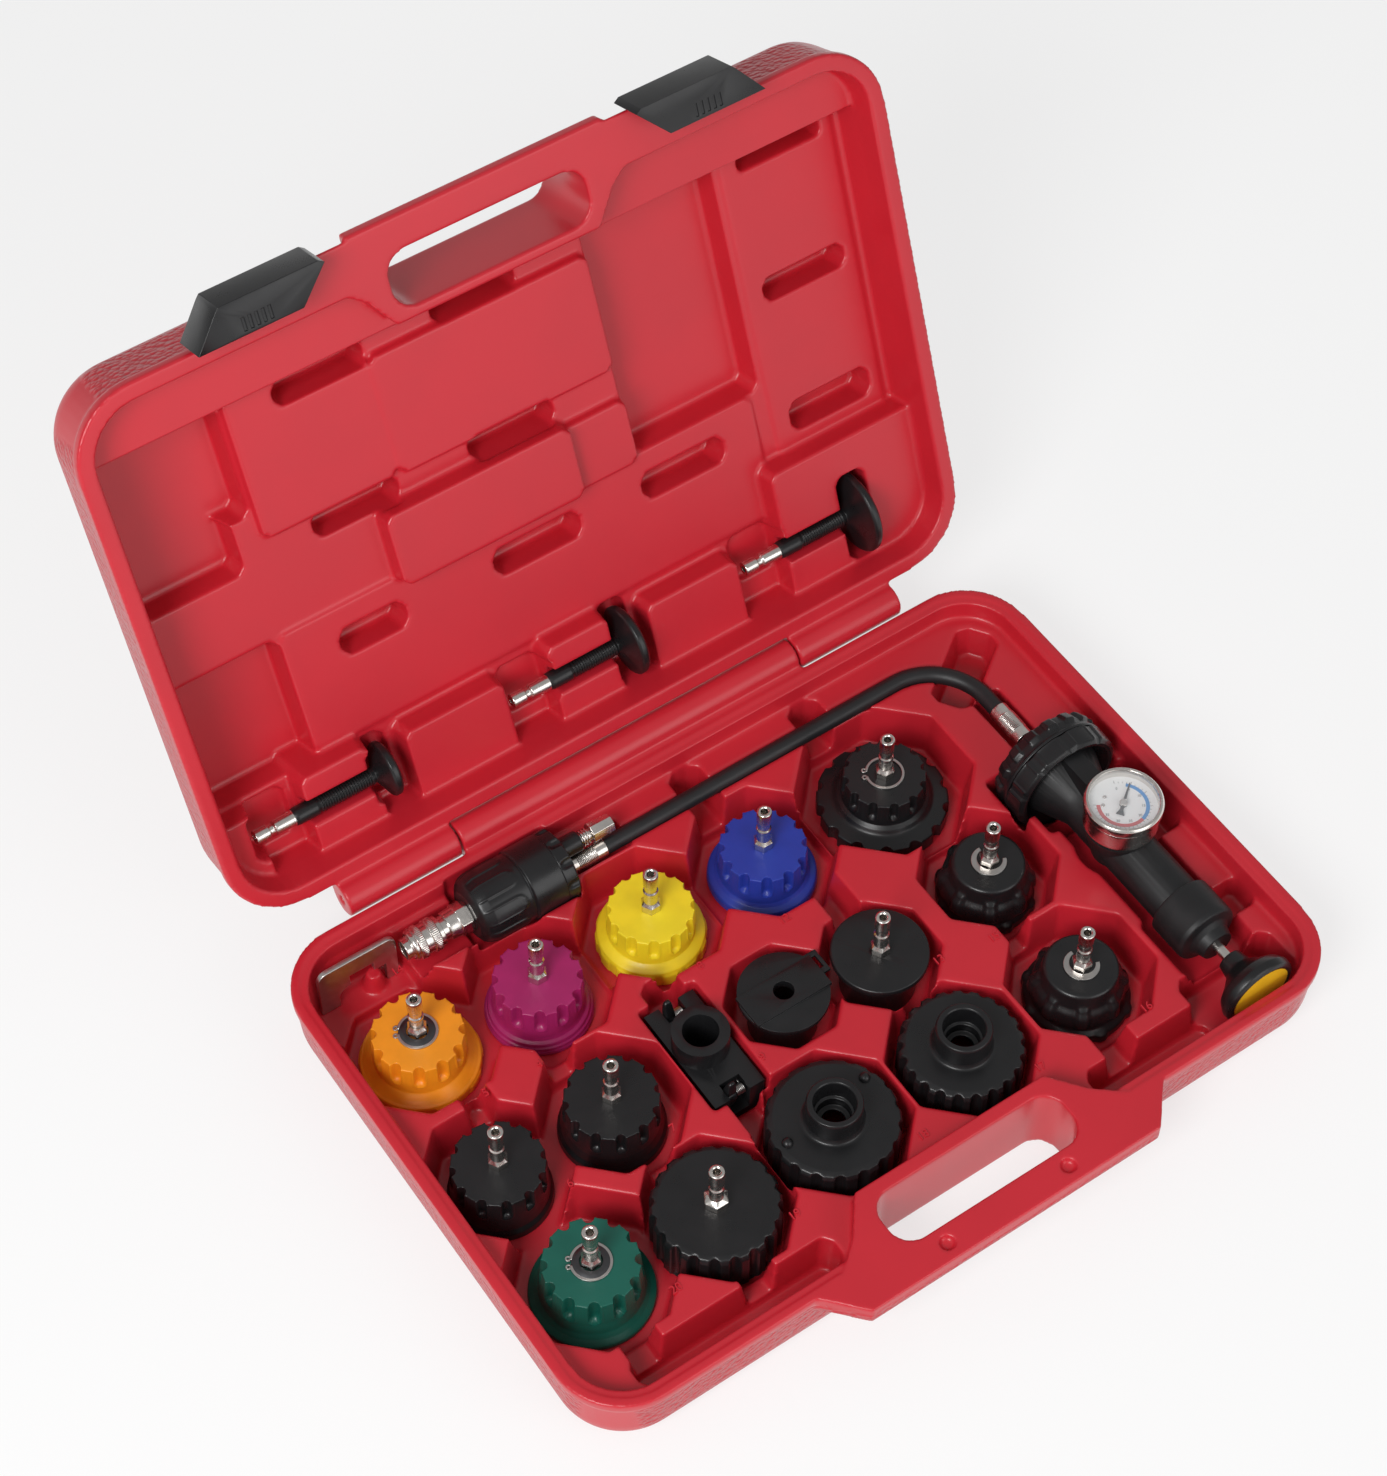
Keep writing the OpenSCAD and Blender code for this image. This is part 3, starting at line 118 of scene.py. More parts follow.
def rounded(points, closed=True, fillet=0.5, step=1.6, plain=0.0):
    """Outline (r, z, optional fillet) whose corners give way to arcs that touch both sides.

    An arc's ends lie fillet / tan(half the corner's angle) from the corner, and long sides are
    cut into pieces of about step. Nearer to the axis than plain, a side keeps only its end pieces."""
    corners = np.array([p[:2] for p in points], float)
    radii = [p[2] if len(p) > 2 else fillet for p in points]
    count = len(corners)
    pieces = []
    for i, (corner, radius) in enumerate(zip(corners, radii)):
        if not closed and i in (0, count - 1):
            pieces.append(corner[None])
            continue
        back, on = corners[i - 1] - corner, corners[(i + 1) % count] - corner
        back_length, on_length = np.hypot(*back), np.hypot(*on)
        back, on = back / back_length, on / on_length
        half = np.arccos(np.clip(back @ on, -1, 1)) / 2
        if half > math.radians(88) or radius <= 0:
            pieces.append(corner[None])
            continue
        reach = min(radius / np.tan(half), 0.46 * back_length, 0.46 * on_length)
        radius = reach * np.tan(half)
        bisector = (back + on) / np.hypot(*(back + on))
        centre = corner + bisector * radius / np.sin(half)
        sweep = math.pi - 2 * half
        t = np.linspace(0, 1, max(3, int(np.ceil(sweep / math.radians(22))) + 1))[:, None]
        start, end = corner + back * reach - centre, corner + on * reach - centre
        pieces.append(centre + (np.sin((1 - t) * sweep) * start + np.sin(t * sweep) * end) / np.sin(sweep))
    line = np.concatenate(pieces)
    ends = np.roll(line, -1, 0) if closed else line[1:]
    starts = line if closed else line[:-1]
    parts = []
    for a, b in zip(starts, ends):
        cuts = max(1, int(np.hypot(*(b - a)) / step))
        side = a + (b - a) * np.linspace(0, 1, cuts, endpoint=False)[:, None]
        order = np.arange(cuts)
        parts.append(side[(order < 2) | (order == cuts - 1) | (side[:, 0] > plain)])
    if not closed:
        parts.append(line[-1:])
    return np.concatenate(parts)


def surface(name, grid, around=True, along=True):
    """Object from a grid of points (rows, columns, 3) in millimetres.

    Row i and row i + 1 are joined by four-sided faces; around joins the last row to the first and
    along the last column to the first. Doubles at poles are merged and the faces turned outwards."""
    rows, columns = grid.shape[:2]
    index = np.arange(rows * columns).reshape(rows, columns)
    next_row, next_column = np.roll(index, -1, 0), np.roll(index, -1, 1)
    corner = np.roll(next_row, -1, 1)
    quads = np.stack([index, next_row, corner, next_column], -1)
    quads = quads[: rows if around else rows - 1, : columns if along else columns - 1].reshape(-1, 4)
    mesh = bpy.data.meshes.new(name)
    mesh.from_pydata((grid.reshape(-1, 3) * MM).tolist(), [], quads.tolist())
    return tidy_object(name, mesh)


def tidy_object(name, mesh, near=MERGE):
    """Object from a mesh: doubles merged, empty faces dropped, the rest turned outwards and smooth."""
    work = bmesh.new()
    work.from_mesh(mesh)
    bmesh.ops.remove_doubles(work, verts=work.verts, dist=near)
    bmesh.ops.dissolve_degenerate(work, edges=work.edges, dist=near)
    bmesh.ops.recalc_face_normals(work, faces=work.faces)
    work.to_mesh(mesh)
    work.free()
    mesh.shade_smooth()
    piece = bpy.data.objects.new(name, mesh)
    bpy.context.scene.collection.objects.link(piece)
    return piece


def lathe(name, outline, segments, relief=None, place=None):
    """Turned form: the outline (r, z) goes round Z, and relief(angle, r, z) gives what it adds to both.

    A point is (r cos a, r sin a, z) after relief. An outline that starts and ends on Z is closed there."""
    angle = np.arange(segments)[:, None] * TURN / segments
    r, z = outline[None, :, 0], outline[None, :, 1]
    dr, dz = relief(angle, r, z) if relief else (0.0, 0.0)
    r, z = np.broadcast_arrays(r + dr + 0 * angle, z + dz + 0 * angle)
    grid = np.stack([r * np.cos(angle), r * np.sin(angle), z], -1)
    on_axis = outline[0, 0] < 1e-6 and outline[-1, 0] < 1e-6
    piece = surface(name, grid, True, not on_axis)
    return piece if place is None else put(piece, place)


def put(piece, place):
    """Moves a piece's mesh by a matrix whose lengths are millimetres."""
    matrix = place.copy()
    matrix.translation = matrix.translation * MM
    piece.data.transform(matrix)
    return piece


def tube(name, path, radius, sides, place):
    """Round tube along a path (n, 3): rings stand square to the path, turned as little as they can be."""
    ahead = np.gradient(path, axis=0)
    ahead /= np.linalg.norm(ahead, axis=1)[:, None]
    side = np.cross(ahead[0], [0.3, 0.5, 0.81])
    sides_at = []
    for direction in ahead:
        side = side - direction * (side @ direction)
        side /= np.linalg.norm(side)
        sides_at.append(side)
    across = np.array(sides_at)
    up = np.cross(ahead, across)
    angle = np.arange(sides) * TURN / sides
    ring = across[:, None] * np.cos(angle)[None, :, None] + up[:, None] * np.sin(angle)[None, :, None]
    grid = path[:, None] + ring * radius
    cap_a, cap_b = np.repeat(path[:1, None], sides, 1), np.repeat(path[-1:, None], sides, 1)
    return put(surface(name, np.concatenate([cap_a, grid, cap_b]), False, True), place)


def softened(node, width, segments=2):
    """Copy of a CAD node with merged corners, flat faces made whole and its sharp edges rounded."""
    mesh = frame["nodes"][node].data.copy()
    mesh.name = node + "_form"
    mesh.materials.clear()
    work = bmesh.new()
    work.from_mesh(mesh)
    bmesh.ops.remove_doubles(work, verts=work.verts, dist=MERGE)
    bmesh.ops.dissolve_limit(work, angle_limit=FLAT, verts=work.verts, edges=work.edges)
    bmesh.ops.recalc_face_normals(work, faces=work.faces)
    work.to_mesh(mesh)
    work.free()
    mesh.shade_smooth()
    piece = bpy.data.objects.new(node + "_form", mesh)
    bpy.context.scene.collection.objects.link(piece)
    bevel = piece.modifiers.new("edges", "BEVEL")
    bevel.width = width * MM
    bevel.segments = segments
    bevel.limit_method = "ANGLE"
    bevel.angle_limit = SHARP
    bevel.harden_normals = True
    return piece


def joined(name, pieces):
    """One object from several."""
    bpy.ops.object.select_all(action="DESELECT")
    for piece in pieces:
        piece.select_set(True)
    bpy.context.view_layer.objects.active = pieces[0]
    bpy.ops.object.join()
    pieces[0].name = name
    pieces[0].data.name = name
    return pieces[0]


def dress(piece, material, *nodes):
    """Gives a piece its material, lets it stand for CAD nodes, and rides it on their body."""
    piece.data.materials.clear()
    piece.data.materials.append(material)
    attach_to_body(piece, BODY_OF[nodes[0]])
    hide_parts(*nodes)
    return piece


def attach(piece, material, body):
    """Gives a piece that stands for no CAD node its material and body."""
    piece.data.materials.clear()
    piece.data.materials.append(material)
    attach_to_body(piece, body)
    return piece


def paint(node, material):
    """Gives a CAD node its material."""
    data = frame["nodes"][node].data
    data.materials.clear()
    data.materials.append(material)


def turned(node, outline, segments, place, finish, relief=None, closed=False, step=1.6):
    """A CAD node made anew as a turned form, from the corners of its half-section."""
    piece = lathe(node + "_form", rounded(outline, closed, step=step), segments, relief, place)
    dress(piece, FINISH[finish], node)


def added(name, outline, segments, place, finish, body, fillet=0.5, closed=False):
    """A turned metal form that stands for no CAD node, riding on a body."""
    attach(lathe(name, rounded(outline, closed, fillet), segments, None, place), FINISH[finish], body)


# ------------------------------------------------------------------ reliefs


def step_up(x, edge, width):
    """0 below the edge and 1 above it, with a smooth rise of that width."""
    t = np.clip((x - edge) / width + 0.5, 0, 1)
    return t * t * (3 - 2 * t)


def off_centre(angle, count, phase=0.0):
    """Angle from the nearest of count equally spaced directions."""
    period = TURN / count
    return np.abs((angle - phase + period / 2) % period - period / 2)


def flutes(count, top, radius, half=2.9, deep=2.8, length=14.0, phase=0.0, rim=0.5):
    """Relief of round-bottomed flutes in a drum's side, open at its top edge, each with a thin rim.

    The distance to a flute's middle line, with a round end at its foot, gives the depth: what lies
    outside the flute's wall is drawn in to it, and the side swells by rim just beyond it."""

    def relief(angle, r, z):
        across = off_centre(angle, count, phase) * radius
        foot = top - length + half
        drum = (z > foot - half - 2) * (r < radius + 1.6)
        distance = np.hypot(across, np.maximum(foot - z, 0))
        wall = radius - deep * np.sqrt(np.clip(1 - (distance / half) ** 2, 0, 1))
        inside = drum * (distance < half)
        edge = np.exp(-(((distance - half - 0.45) / 0.45) ** 2)) * drum * step_up(r, radius - 1.2, 0.8)
        return np.minimum(wall - r, 0) * inside + rim * edge, 0.0

    return relief


def teeth(count, radius, high, z_low, z_high, share=0.5, phase=0.0, soft=0.05):
    """Relief of raised blocks round a rim between two heights."""

    def relief(angle, r, z):
        block = 1 - step_up(off_centre(angle, count, phase), share * math.pi / count, soft)
        band = step_up(z, z_low, 1.0) * (1 - step_up(z, z_high, 1.0)) * step_up(r, radius - 2.5, 2)
        return high * block * band, 0.0

    return relief


def together(*reliefs):
    """Sum of several reliefs."""

    def relief(angle, r, z):
        parts = [one(angle, r, z) for one in reliefs]
        return sum(p[0] for p in parts), sum(p[1] for p in parts)

    return relief


# ------------------------------------------------------------------ shader maths


class Value:
    """A shader socket in sums: each operator adds its Math node to the material."""

    def __init__(self, finish, socket):
        self.finish = finish
        self.socket = socket

    def _math(self, operation, *terms):
        return self.finish.node("ShaderNodeMath", {"operation": operation}, dict(enumerate(terms)))

    def __add__(self, other):
        return self._math("ADD", self, other)

    def __sub__(self, other):
        return self._math("SUBTRACT", self, other)

    def __rsub__(self, other):
        return self._math("SUBTRACT", other, self)

    def __mul__(self, other):
        return self._math("MULTIPLY", self, other)

    __radd__ = __add__
    __rmul__ = __mul__

    def clear_step(self, low, high):
        """0 at low and 1 at high, smooth between."""
        terms = {"Value": self, "From Min": low, "From Max": high}
        return self.finish.node("ShaderNodeMapRange", {"interpolation_type": "SMOOTHSTEP"}, terms)


class Finish:
    """A material: a Principled shader, its constants on its own sockets, and what varies as nodes."""

    def __init__(self, name, **constants):
        self.material = bpy.data.materials.new(name)
        self.material.use_nodes = True
        self.tree = self.material.node_tree
        self.shader = self.tree.nodes["Principled BSDF"]
        for socket, value in constants.items():
            target = self.shader.inputs[socket.replace("_", " ")]
            target.default_value = (*value, 1.0) if isinstance(value, tuple) else value

    def node(self, kind, settings=None, inputs=None, output=0):
        """One node: its type, its settings, and the values or links of its sockets."""
        made = self.tree.nodes.new(kind)
        for key, value in (settings or {}).items():
            setattr(made, key, value)
        for key, value in (inputs or {}).items():
            socket = made.inputs[key]
            if isinstance(value, Value):
                self.tree.links.new(value.socket, socket)
            else:
                socket.default_value = value
        return Value(self, made.outputs[output])

    def place(self):
        """Object coordinates, in metres."""
        return self.node("ShaderNodeTexCoord", output="Object")

    def noise(self, size, detail=2.0):
        """Noise whose features are about that many millimetres."""
        terms = {"Vector": self.place(), "Scale": 1 / (size * MM), "Detail": detail, "Roughness": 0.5}
        return self.node("ShaderNodeTexNoise", None, terms)

    def cells(self, size):
        """Voronoi distance with cells of that many millimetres."""
        terms = {"Vector": self.place(), "Scale": 1 / (size * MM)}
        return self.node("ShaderNodeTexVoronoi", {"feature": "F1"}, terms)

    def attribute(self, name):
        """A number kept on the mesh's points."""
        return self.node("ShaderNodeAttribute", {"attribute_name": name}, output="Fac")

    def blend(self, mask, a, b):
        """Colour a where the mask is 0 and b where it is 1; either may be a socket."""
        a, b = [one if isinstance(one, Value) else (*one, 1.0) for one in (a, b)]
        terms = {0: mask, 6: a, 7: b}
        return self.node("ShaderNodeMix", {"data_type": "RGBA"}, terms, output=2)

    def feed(self, socket, value):
        """Links a value to a socket of the shader."""
        self.tree.links.new(value.socket, self.shader.inputs[socket])

    def bump(self, height, depth):
        """Bump of that many millimetres."""
        terms = {"Height": height, "Distance": depth * MM, "Strength": 1.0}
        self.feed("Normal", self.node("ShaderNodeBump", None, terms, output="Normal"))


# ------------------------------------------------------------------ settings


def colour(name, text, value):
    """A colour property."""
    return FloatVectorProperty(name=name, description=text, subtype="COLOR", size=3, min=0, max=1,
                               default=value)


class TesterCaseSettings(bpy.types.PropertyGroup):
    red: colour("Case red", "Colour of the moulded case", (0.570, 0.017, 0.031))
    grain: FloatProperty(name="Grain", description="Size of the mould's grain in millimetres", default=0.55,
                         min=0.1)
    voxel: FloatProperty(name="Fillet cell", description="Cell that rounds the moulded edges, in millimetres",
                         default=1.15, min=0.6)
    rounds: IntProperty(name="Smoothing", description="Rounds of smoothing on the moulded edges", default=4,
                        min=0)
    triangles: IntProperty(name="Triangles", description="Triangles of each case half", default=190000,
                           min=1000)


class TesterCapSettings(bpy.types.PropertyGroup):
    orange: colour("Orange", "Colour of the orange cap", (0.880, 0.300, 0.012))
    purple: colour("Purple", "Colour of the purple cap", (0.360, 0.016, 0.120))
    yellow: colour("Yellow", "Colour of the yellow cap", (0.900, 0.700, 0.020))
    blue: colour("Blue", "Colour of the blue cap", (0.020, 0.045, 0.360))
    green: colour("Green", "Colour of the green cap", (0.006, 0.105, 0.075))
    black: colour("Black", "Colour of the black mouldings", (0.0105, 0.0105, 0.0115))
    segments: IntProperty(name="Segments", description="Faces round each cap", default=288, min=48)


class TesterMetalSettings(bpy.types.PropertyGroup):
    nickel: colour("Nickel", "Colour of the nickel plating", (0.730, 0.690, 0.650))
    steel: colour("Steel", "Colour of the zinc-plated steel", (0.560, 0.540, 0.520))
    brass: colour("Brass", "Colour of the brass stem", (0.640, 0.440, 0.200))
    gold: colour("Disc", "Colour of the disc in the pump knob", (0.860, 0.520, 0.020))


class TesterStageSettings(bpy.types.PropertyGroup):
    key: FloatProperty(name="Key light", description="Power of the large lamp", default=30, unit="POWER")
    fill: FloatProperty(name="Fill light", description="Power of the fill lamp", default=10, unit="POWER")
    sky: FloatProperty(name="Surroundings", description="Strength of the light from all round", default=0.40)


FINISH = {}


def case_plastic(settings):
    """Blow-moulded plastic: fine grain all over, and scales on the outer walls, with painted shade darkening
    the gaps between the scales.
    """
    finish = Finish("case_red", Specular_IOR_Level=0.5)
    cloud = finish.noise(60, 3).clear_step(0.3, 0.7)
    red = tuple(settings.red)
    scales = (1 - finish.cells(3.1)) * finish.attribute("scales")
    worn = finish.blend(cloud, tuple(c * 0.94 for c in red), red)
    # Painted shade: on the outer walls the red darkens towards 0.55 of itself in the gaps between the scales.
    between = finish.attribute("scales") * 0.5 - scales * 0.5
    finish.feed("Base Color", finish.blend(between, worn, tuple(c * 0.55 for c in red)))
    grain = finish.noise(settings.grain, 2)
    finish.feed("Roughness", grain * 0.08 + cloud * 0.05 + 0.26)
    finish.bump(scales * 5.0 + grain * 0.25, 0.16)
    return finish.material


def moulded(name, tone, rough, grain=0.4, dark=0.9):
    """Injection-moulded plastic with a fine satin grain."""
    finish = Finish(name, Specular_IOR_Level=0.45)
    cloud = finish.noise(14, 3).clear_step(0.3, 0.7)
    finish.feed("Base Color", finish.blend(cloud, tuple(c * dark for c in tone), tone))
    fine = finish.noise(grain, 2)
    finish.feed("Roughness", fine * 0.12 + cloud * 0.08 + (rough - 0.08))
    finish.bump(fine, 0.02)
    return finish.material


def plated(name, tone, rough):
    """Plated metal, slightly clouded."""
    finish = Finish(name, Metallic=1.0)
    cloud = finish.noise(4.0, 2).clear_step(0.3, 0.75)
    finish.feed("Base Color", finish.blend(cloud, tuple(c * 0.9 for c in tone), tone))
    finish.feed("Roughness", cloud * 0.07 + rough)
    return finish.material


def make_finishes():
    """Every material, kept by name in FINISH."""
    scene = bpy.context.scene
    case, caps, metal = scene.tester_case, scene.tester_caps, scene.tester_metal
    FINISH["red"] = case_plastic(case)
    for tone in ("orange", "purple", "yellow", "blue", "green"):
        FINISH[tone] = moulded("cap_" + tone, tuple(getattr(caps, tone)), 0.34)
    FINISH["black"] = moulded("black_plastic", tuple(caps.black), 0.30, 0.5, 0.8)
    FINISH["grainy"] = moulded("black_grained", tuple(caps.black), 0.47, 0.8, 0.75)
    FINISH["rubber"] = moulded("hose_rubber", tuple(c * 1.4 for c in caps.black), 0.42, 0.6, 0.8)
    FINISH["nickel"] = plated("nickel_plating", tuple(metal.nickel), 0.21)
    FINISH["steel"] = plated("zinc_plate", tuple(metal.steel), 0.31)
    FINISH["dark_steel"] = plated("dark_washer", (0.10, 0.10, 0.105), 0.34)
    FINISH["brass"] = plated("brass_stem", tuple(metal.brass), 0.24)
    FINISH["gold"] = moulded("knob_disc_yellow", tuple(metal.gold), 0.30)
    FINISH["paper"] = moulded("dial_white", (0.84, 0.84, 0.83), 0.40, 0.3, 0.97)
    FINISH["ink_red"] = moulded("print_red", (0.62, 0.035, 0.035), 0.42)
    FINISH["ink_blue"] = moulded("print_blue", (0.020, 0.250, 0.620), 0.42)
    FINISH["ink_black"] = moulded("print_black", (0.015, 0.015, 0.015), 0.45)
    lens = Finish("lens_clear", Base_Color=(0.9, 0.95, 1.0), Alpha=0.10, IOR=1.46)
    lens.feed("Roughness", lens.noise(20) * 0.01 + 0.005)
    FINISH["lens"] = lens.material


# ------------------------------------------------------------------ case

SCALED_WALL = 4.5  # thickness of the scaled end walls
SCALED_FROM_Y = 150.5  # where the scaled front and back walls begin, from the case's middle
TRAY_SCALES = 6, 37  # heights between which the tray's wall is scaled
LID_SCALES = 53, 88  # the same for the closed lid


def moulded_half(node, outer, settings):
    """One case half: the CAD half rebuilt in small cells and smoothed, which rounds every edge.

    outer(points) is 1 on the outer walls and 0 elsewhere, and is kept as the attribute scales."""
    piece = tidy_object(node + "_moulding", frame["nodes"][node].data.copy())
    remesh = piece.modifiers.new("cells", "REMESH")
    remesh.mode = "VOXEL"
    remesh.voxel_size = settings.voxel * MM * 1
    smooth = piece.modifiers.new("smooth", "SMOOTH")
    smooth.factor = 0.5
    smooth.iterations = settings.rounds
    bake_modifiers(piece)
    piece.data.calc_loop_triangles()
    share = settings.triangles / max(1, len(piece.data.loop_triangles))
    if share < 1:
        thin = piece.modifiers.new("thin", "DECIMATE")
        thin.ratio = share
        bake_modifiers(piece)
    data = piece.data
    data.shade_smooth()
    points = np.zeros(len(data.vertices) * 3, np.float32)
    data.vertices.foreach_get("co", points)
    mask = outer(points.reshape(-1, 3) / MM).astype(np.float32)
    data.attributes.new("scales", "FLOAT", "POINT").data.foreach_set("value", mask)
    dress(piece, FINISH["red"], node)


def bake_modifiers(piece):
    """Puts what the modifiers make into the mesh and drops them."""
    graph = bpy.context.evaluated_depsgraph_get()
    mesh = bpy.data.meshes.new_from_object(piece.evaluated_get(graph))
    piece.modifiers.clear()
    piece.data = mesh


def wall_mask(points, low, high):
    """1 on the outer walls between two heights, 0 elsewhere.

    It follows how far a point lies out past the walls' inner faces, in X or in Y."""
    x, y, z = np.abs(points[:, 0]), np.abs(points[:, 1]), points[:, 2]
    side = np.maximum(x - (half_width("tray") - SCALED_WALL), y - SCALED_FROM_Y)
    return step_up(side, 0, 1.5) * step_up(z, low, 3) * (1 - step_up(z, high, 2))


class TESTER_OT_case(bpy.types.Operator):
    """Tray, lid, hinge pin and latches"""

    bl_idname = "tester.case"
    bl_label = "Case"

    def execute(self, context):
        settings = context.scene.tester_case
        moulded_half("tray", lambda p: wall_mask(p, *TRAY_SCALES), settings)
        back = np.array(opened().inverted())

        def lid_wall(points):
            closed = points @ back[:3, :3].T + back[:3, 3]
            return wall_mask(closed, *LID_SCALES)

        moulded_half("lid", lid_wall, settings)
        paint("hinge_pin", FINISH["nickel"])
        for side in ("latch_left", "latch_right"):
            dress(softened(side, 0.9, 3), FINISH["black"], side)
        return {"FINISHED"}


# ------------------------------------------------------------------ caps

CAP_TOP = box_mm("cap_purple")[1][2]
FLOOR = box_mm("cap_purple")[0][2]
SHANK = 3.4  # radius of the hole that a nipple's shank fills
WALL = 4.5  # thickness of a cap's side and top
FINE = 0.9  # length of the pieces of a cap's outline, so that its relief has points to move


def cap_form(node, section, inside, relief, place, finish="black"):
    """A cap turned from its closed half-section, which is cut finely beyond the radius inside."""
    section = rounded(section, step=FINE, plain=inside + 0.1)
    piece = lathe(node + "_form", section, bpy.context.scene.tester_caps.segments, relief, place)
    dress(piece, FINISH[finish], node)


def cap(node, skirt, r_top, relief, finish="black", turn=0.0, soft=0.6):
    """A cap on its place: its top, the outer points of its skirt, its foot and its hollow."""
    x, y, _ = middle("fitting" + node[3:])
    inside = r_top - WALL
    section = [(SHANK, CAP_TOP, 0), (r_top, CAP_TOP, soft), *skirt, (inside, FLOOR, 0.4),
               (inside, CAP_TOP - WALL, 1.5), (SHANK, CAP_TOP - WALL, 0)]
    cap_form(node, section, inside, relief, standing(x, y) @ Matrix.Rotation(turn, 4, "Z"), finish)


def drum(r, foot):
    """Side of a fluted drum down to a narrow groove."""
    return [(r + 0.7, foot + 1.0, 0.8), (r + 0.9, foot - 1.6, 1.0)]


def coloured_caps():
    """The five coloured caps: one fluted drum, five skirts."""
    r, skirt = 23.5, half_width("cap_orange")
    outline = [*drum(r, 19), (27.5, 14.5, 1.5), (29.5, 13, 1.2), (skirt - 1.0, 12.4, 1.0),
               (skirt - 0.6, 11, 0.6), (skirt - 0.6, FLOOR, 0.6)]
    ribs = teeth(9, skirt, 0.6, FLOOR, 11, 0.55, 0.4)
    cap("cap_orange", outline, r, together(flutes(12, CAP_TOP, r), ribs), "orange")
    r = 23
    outline = [*drum(r, 18), (24.5, 14.5, 1), (26.4, 13.6, 0.8), (26.8, 11.8, 0.6), (27.8, 11.2, 0.4),
               (28.0, 9.4, 0.5), (28.5, 8.8, 0.3), (28.5, FLOOR, 0.6)]
    cap("cap_purple", outline, r, flutes(12, CAP_TOP, r), "purple")
    r = 22.5
    outline = [*drum(r, 21), (25.5, 18, 1.5), (28.4, 16.4, 1.2), (28.9, 14.6, 0.8), (28.9, FLOOR, 0.6)]
    ribs = teeth(14, 29.5, 0.6, FLOOR, 14.5, 0.6)
    cap("cap_yellow", outline, r, together(flutes(12, CAP_TOP, r, 2.6, 1.8, 13), ribs), "yellow")
    r = 23
    outline = [*drum(r, 19), (25.5, 15.5, 1.5), (28.6, 14.2, 1.4), (29.3, 12.4, 0.8), (29.5, 9, 0.5),
               (28.2, FLOOR, 0.6)]
    cap("cap_blue", outline, r, flutes(12, CAP_TOP, r, 2.7, 2.7, 13.5), "blue")
    r, skirt = 24, half_width("cap_green")
    outline = [(r + 1.2, 20, 2), (r + 2.5, 13.5, 2), (28.5, 11.2, 1.6), (skirt - 0.5, 9.0, 1.2),
               (skirt - 0.2, FLOOR, 0.8)]
    cap("cap_green", outline, r, flutes(12, CAP_TOP, r, 3.0, 3.0, 15.5, 0.0, 0.45), "green")


def black_caps():
    """Two fluted black caps and the two-tier cap."""
    for node, r in (("cap_black_1", 23.5), ("cap_black_2", 24)):
        skirt = half_width(node)
        outline = [*drum(r, 20), (skirt - 2, 13, 1.5), (skirt - 0.4, 10.5, 1.2), (skirt, FLOOR, 0.6)]
        cap(node, outline, r, flutes(12, CAP_TOP, r, 2.5, 2.4, 13), turn=0.13)
    r, tier = 22, half_width("cap_two_step") - 0.2
    outline = [*drum(r, 23), (25, 20, 1.6), (27, 17.4, 2.4), (tier, 16, 1.2), (tier, FLOOR, 0.8)]
    upper = flutes(12, CAP_TOP, r, 2.4, 2.2, 12, 0.13)
    cap("cap_two_step", outline, r, together(upper, flutes(14, 16, tier, 3.2, 2.8, 13, 0.1, 0.2)))


def scallops(count, radius, half, deep):
    """Relief of round-bottomed grooves up a wide cap's side, open at its top edge."""

    def relief(angle, r, z):
        across = off_centre(angle, count) * radius
        wall = radius - deep * np.sqrt(np.clip(1 - (across / half) ** 2, 0, 1))
        edge = np.exp(-(((across - half - 0.4) / 0.45) ** 2)) * step_up(r, radius - 1.5, 1)
        groove = np.minimum(wall - r, 0) * (across < half) * step_up(z, FLOOR + 2, 2)
        return groove + 0.25 * edge, 0.0

    return relief


def wide_cap(node, radius, count, half, deep):
    """Low wide cap with a scalloped side and a nipple in its middle."""
    x, y, _ = middle("fitting" + node[3:])
    inside = radius - 8
    section = [(SHANK, CAP_TOP, 0), (radius - 4, CAP_TOP, 1.2), (radius - 1.6, CAP_TOP - 0.6, 1.6),
               (radius, CAP_TOP - 3.2, 2.2), (radius, FLOOR + 3, 1.6), (radius - 2.5, FLOOR, 1.2),
               (inside, FLOOR, 0.4), (inside, CAP_TOP - WALL, 1.5), (SHANK, CAP_TOP - WALL, 0)]
    cap_form(node, section, inside, scallops(count, radius, half, deep), standing(x, y))


def collar_cap(node, radius, count, half, deep):
    """Wide cap with an open collar in its middle."""
    x, y, _ = middle(node)
    top = box_mm(node)[1][2]
    collar, mouth, bore, inside = 14.5, 10.3, 6.0, radius - 8
    section = [(bore, CAP_TOP - 3, 0.5), (mouth - 1.6, CAP_TOP - 2.6, 0.5), (mouth - 1.6, CAP_TOP + 3, 0.6),
               (mouth, CAP_TOP + 3.4, 0.5), (mouth + 0.4, top - 0.8, 0.4), (mouth + 1.0, top, 0.5),
               (collar - 0.6, top, 0.8), (collar, top - 1.4, 0.6), (collar, CAP_TOP + 2.5, 1.5),
               (collar + 1.6, CAP_TOP, 1.6), (radius - 4, CAP_TOP, 1.2), (radius - 1.2, CAP_TOP - 1.0, 1.2),
               (radius, CAP_TOP - 3, 1.2), (radius, FLOOR + 2.5, 1.4), (radius - 2.2, FLOOR, 1.0),
               (inside, FLOOR, 0.5), (inside, CAP_TOP - WALL, 1.5), (bore, CAP_TOP - WALL, 0.5)]
    cap_form(node, section, inside, scallops(count, radius, half, deep), standing(x, y))


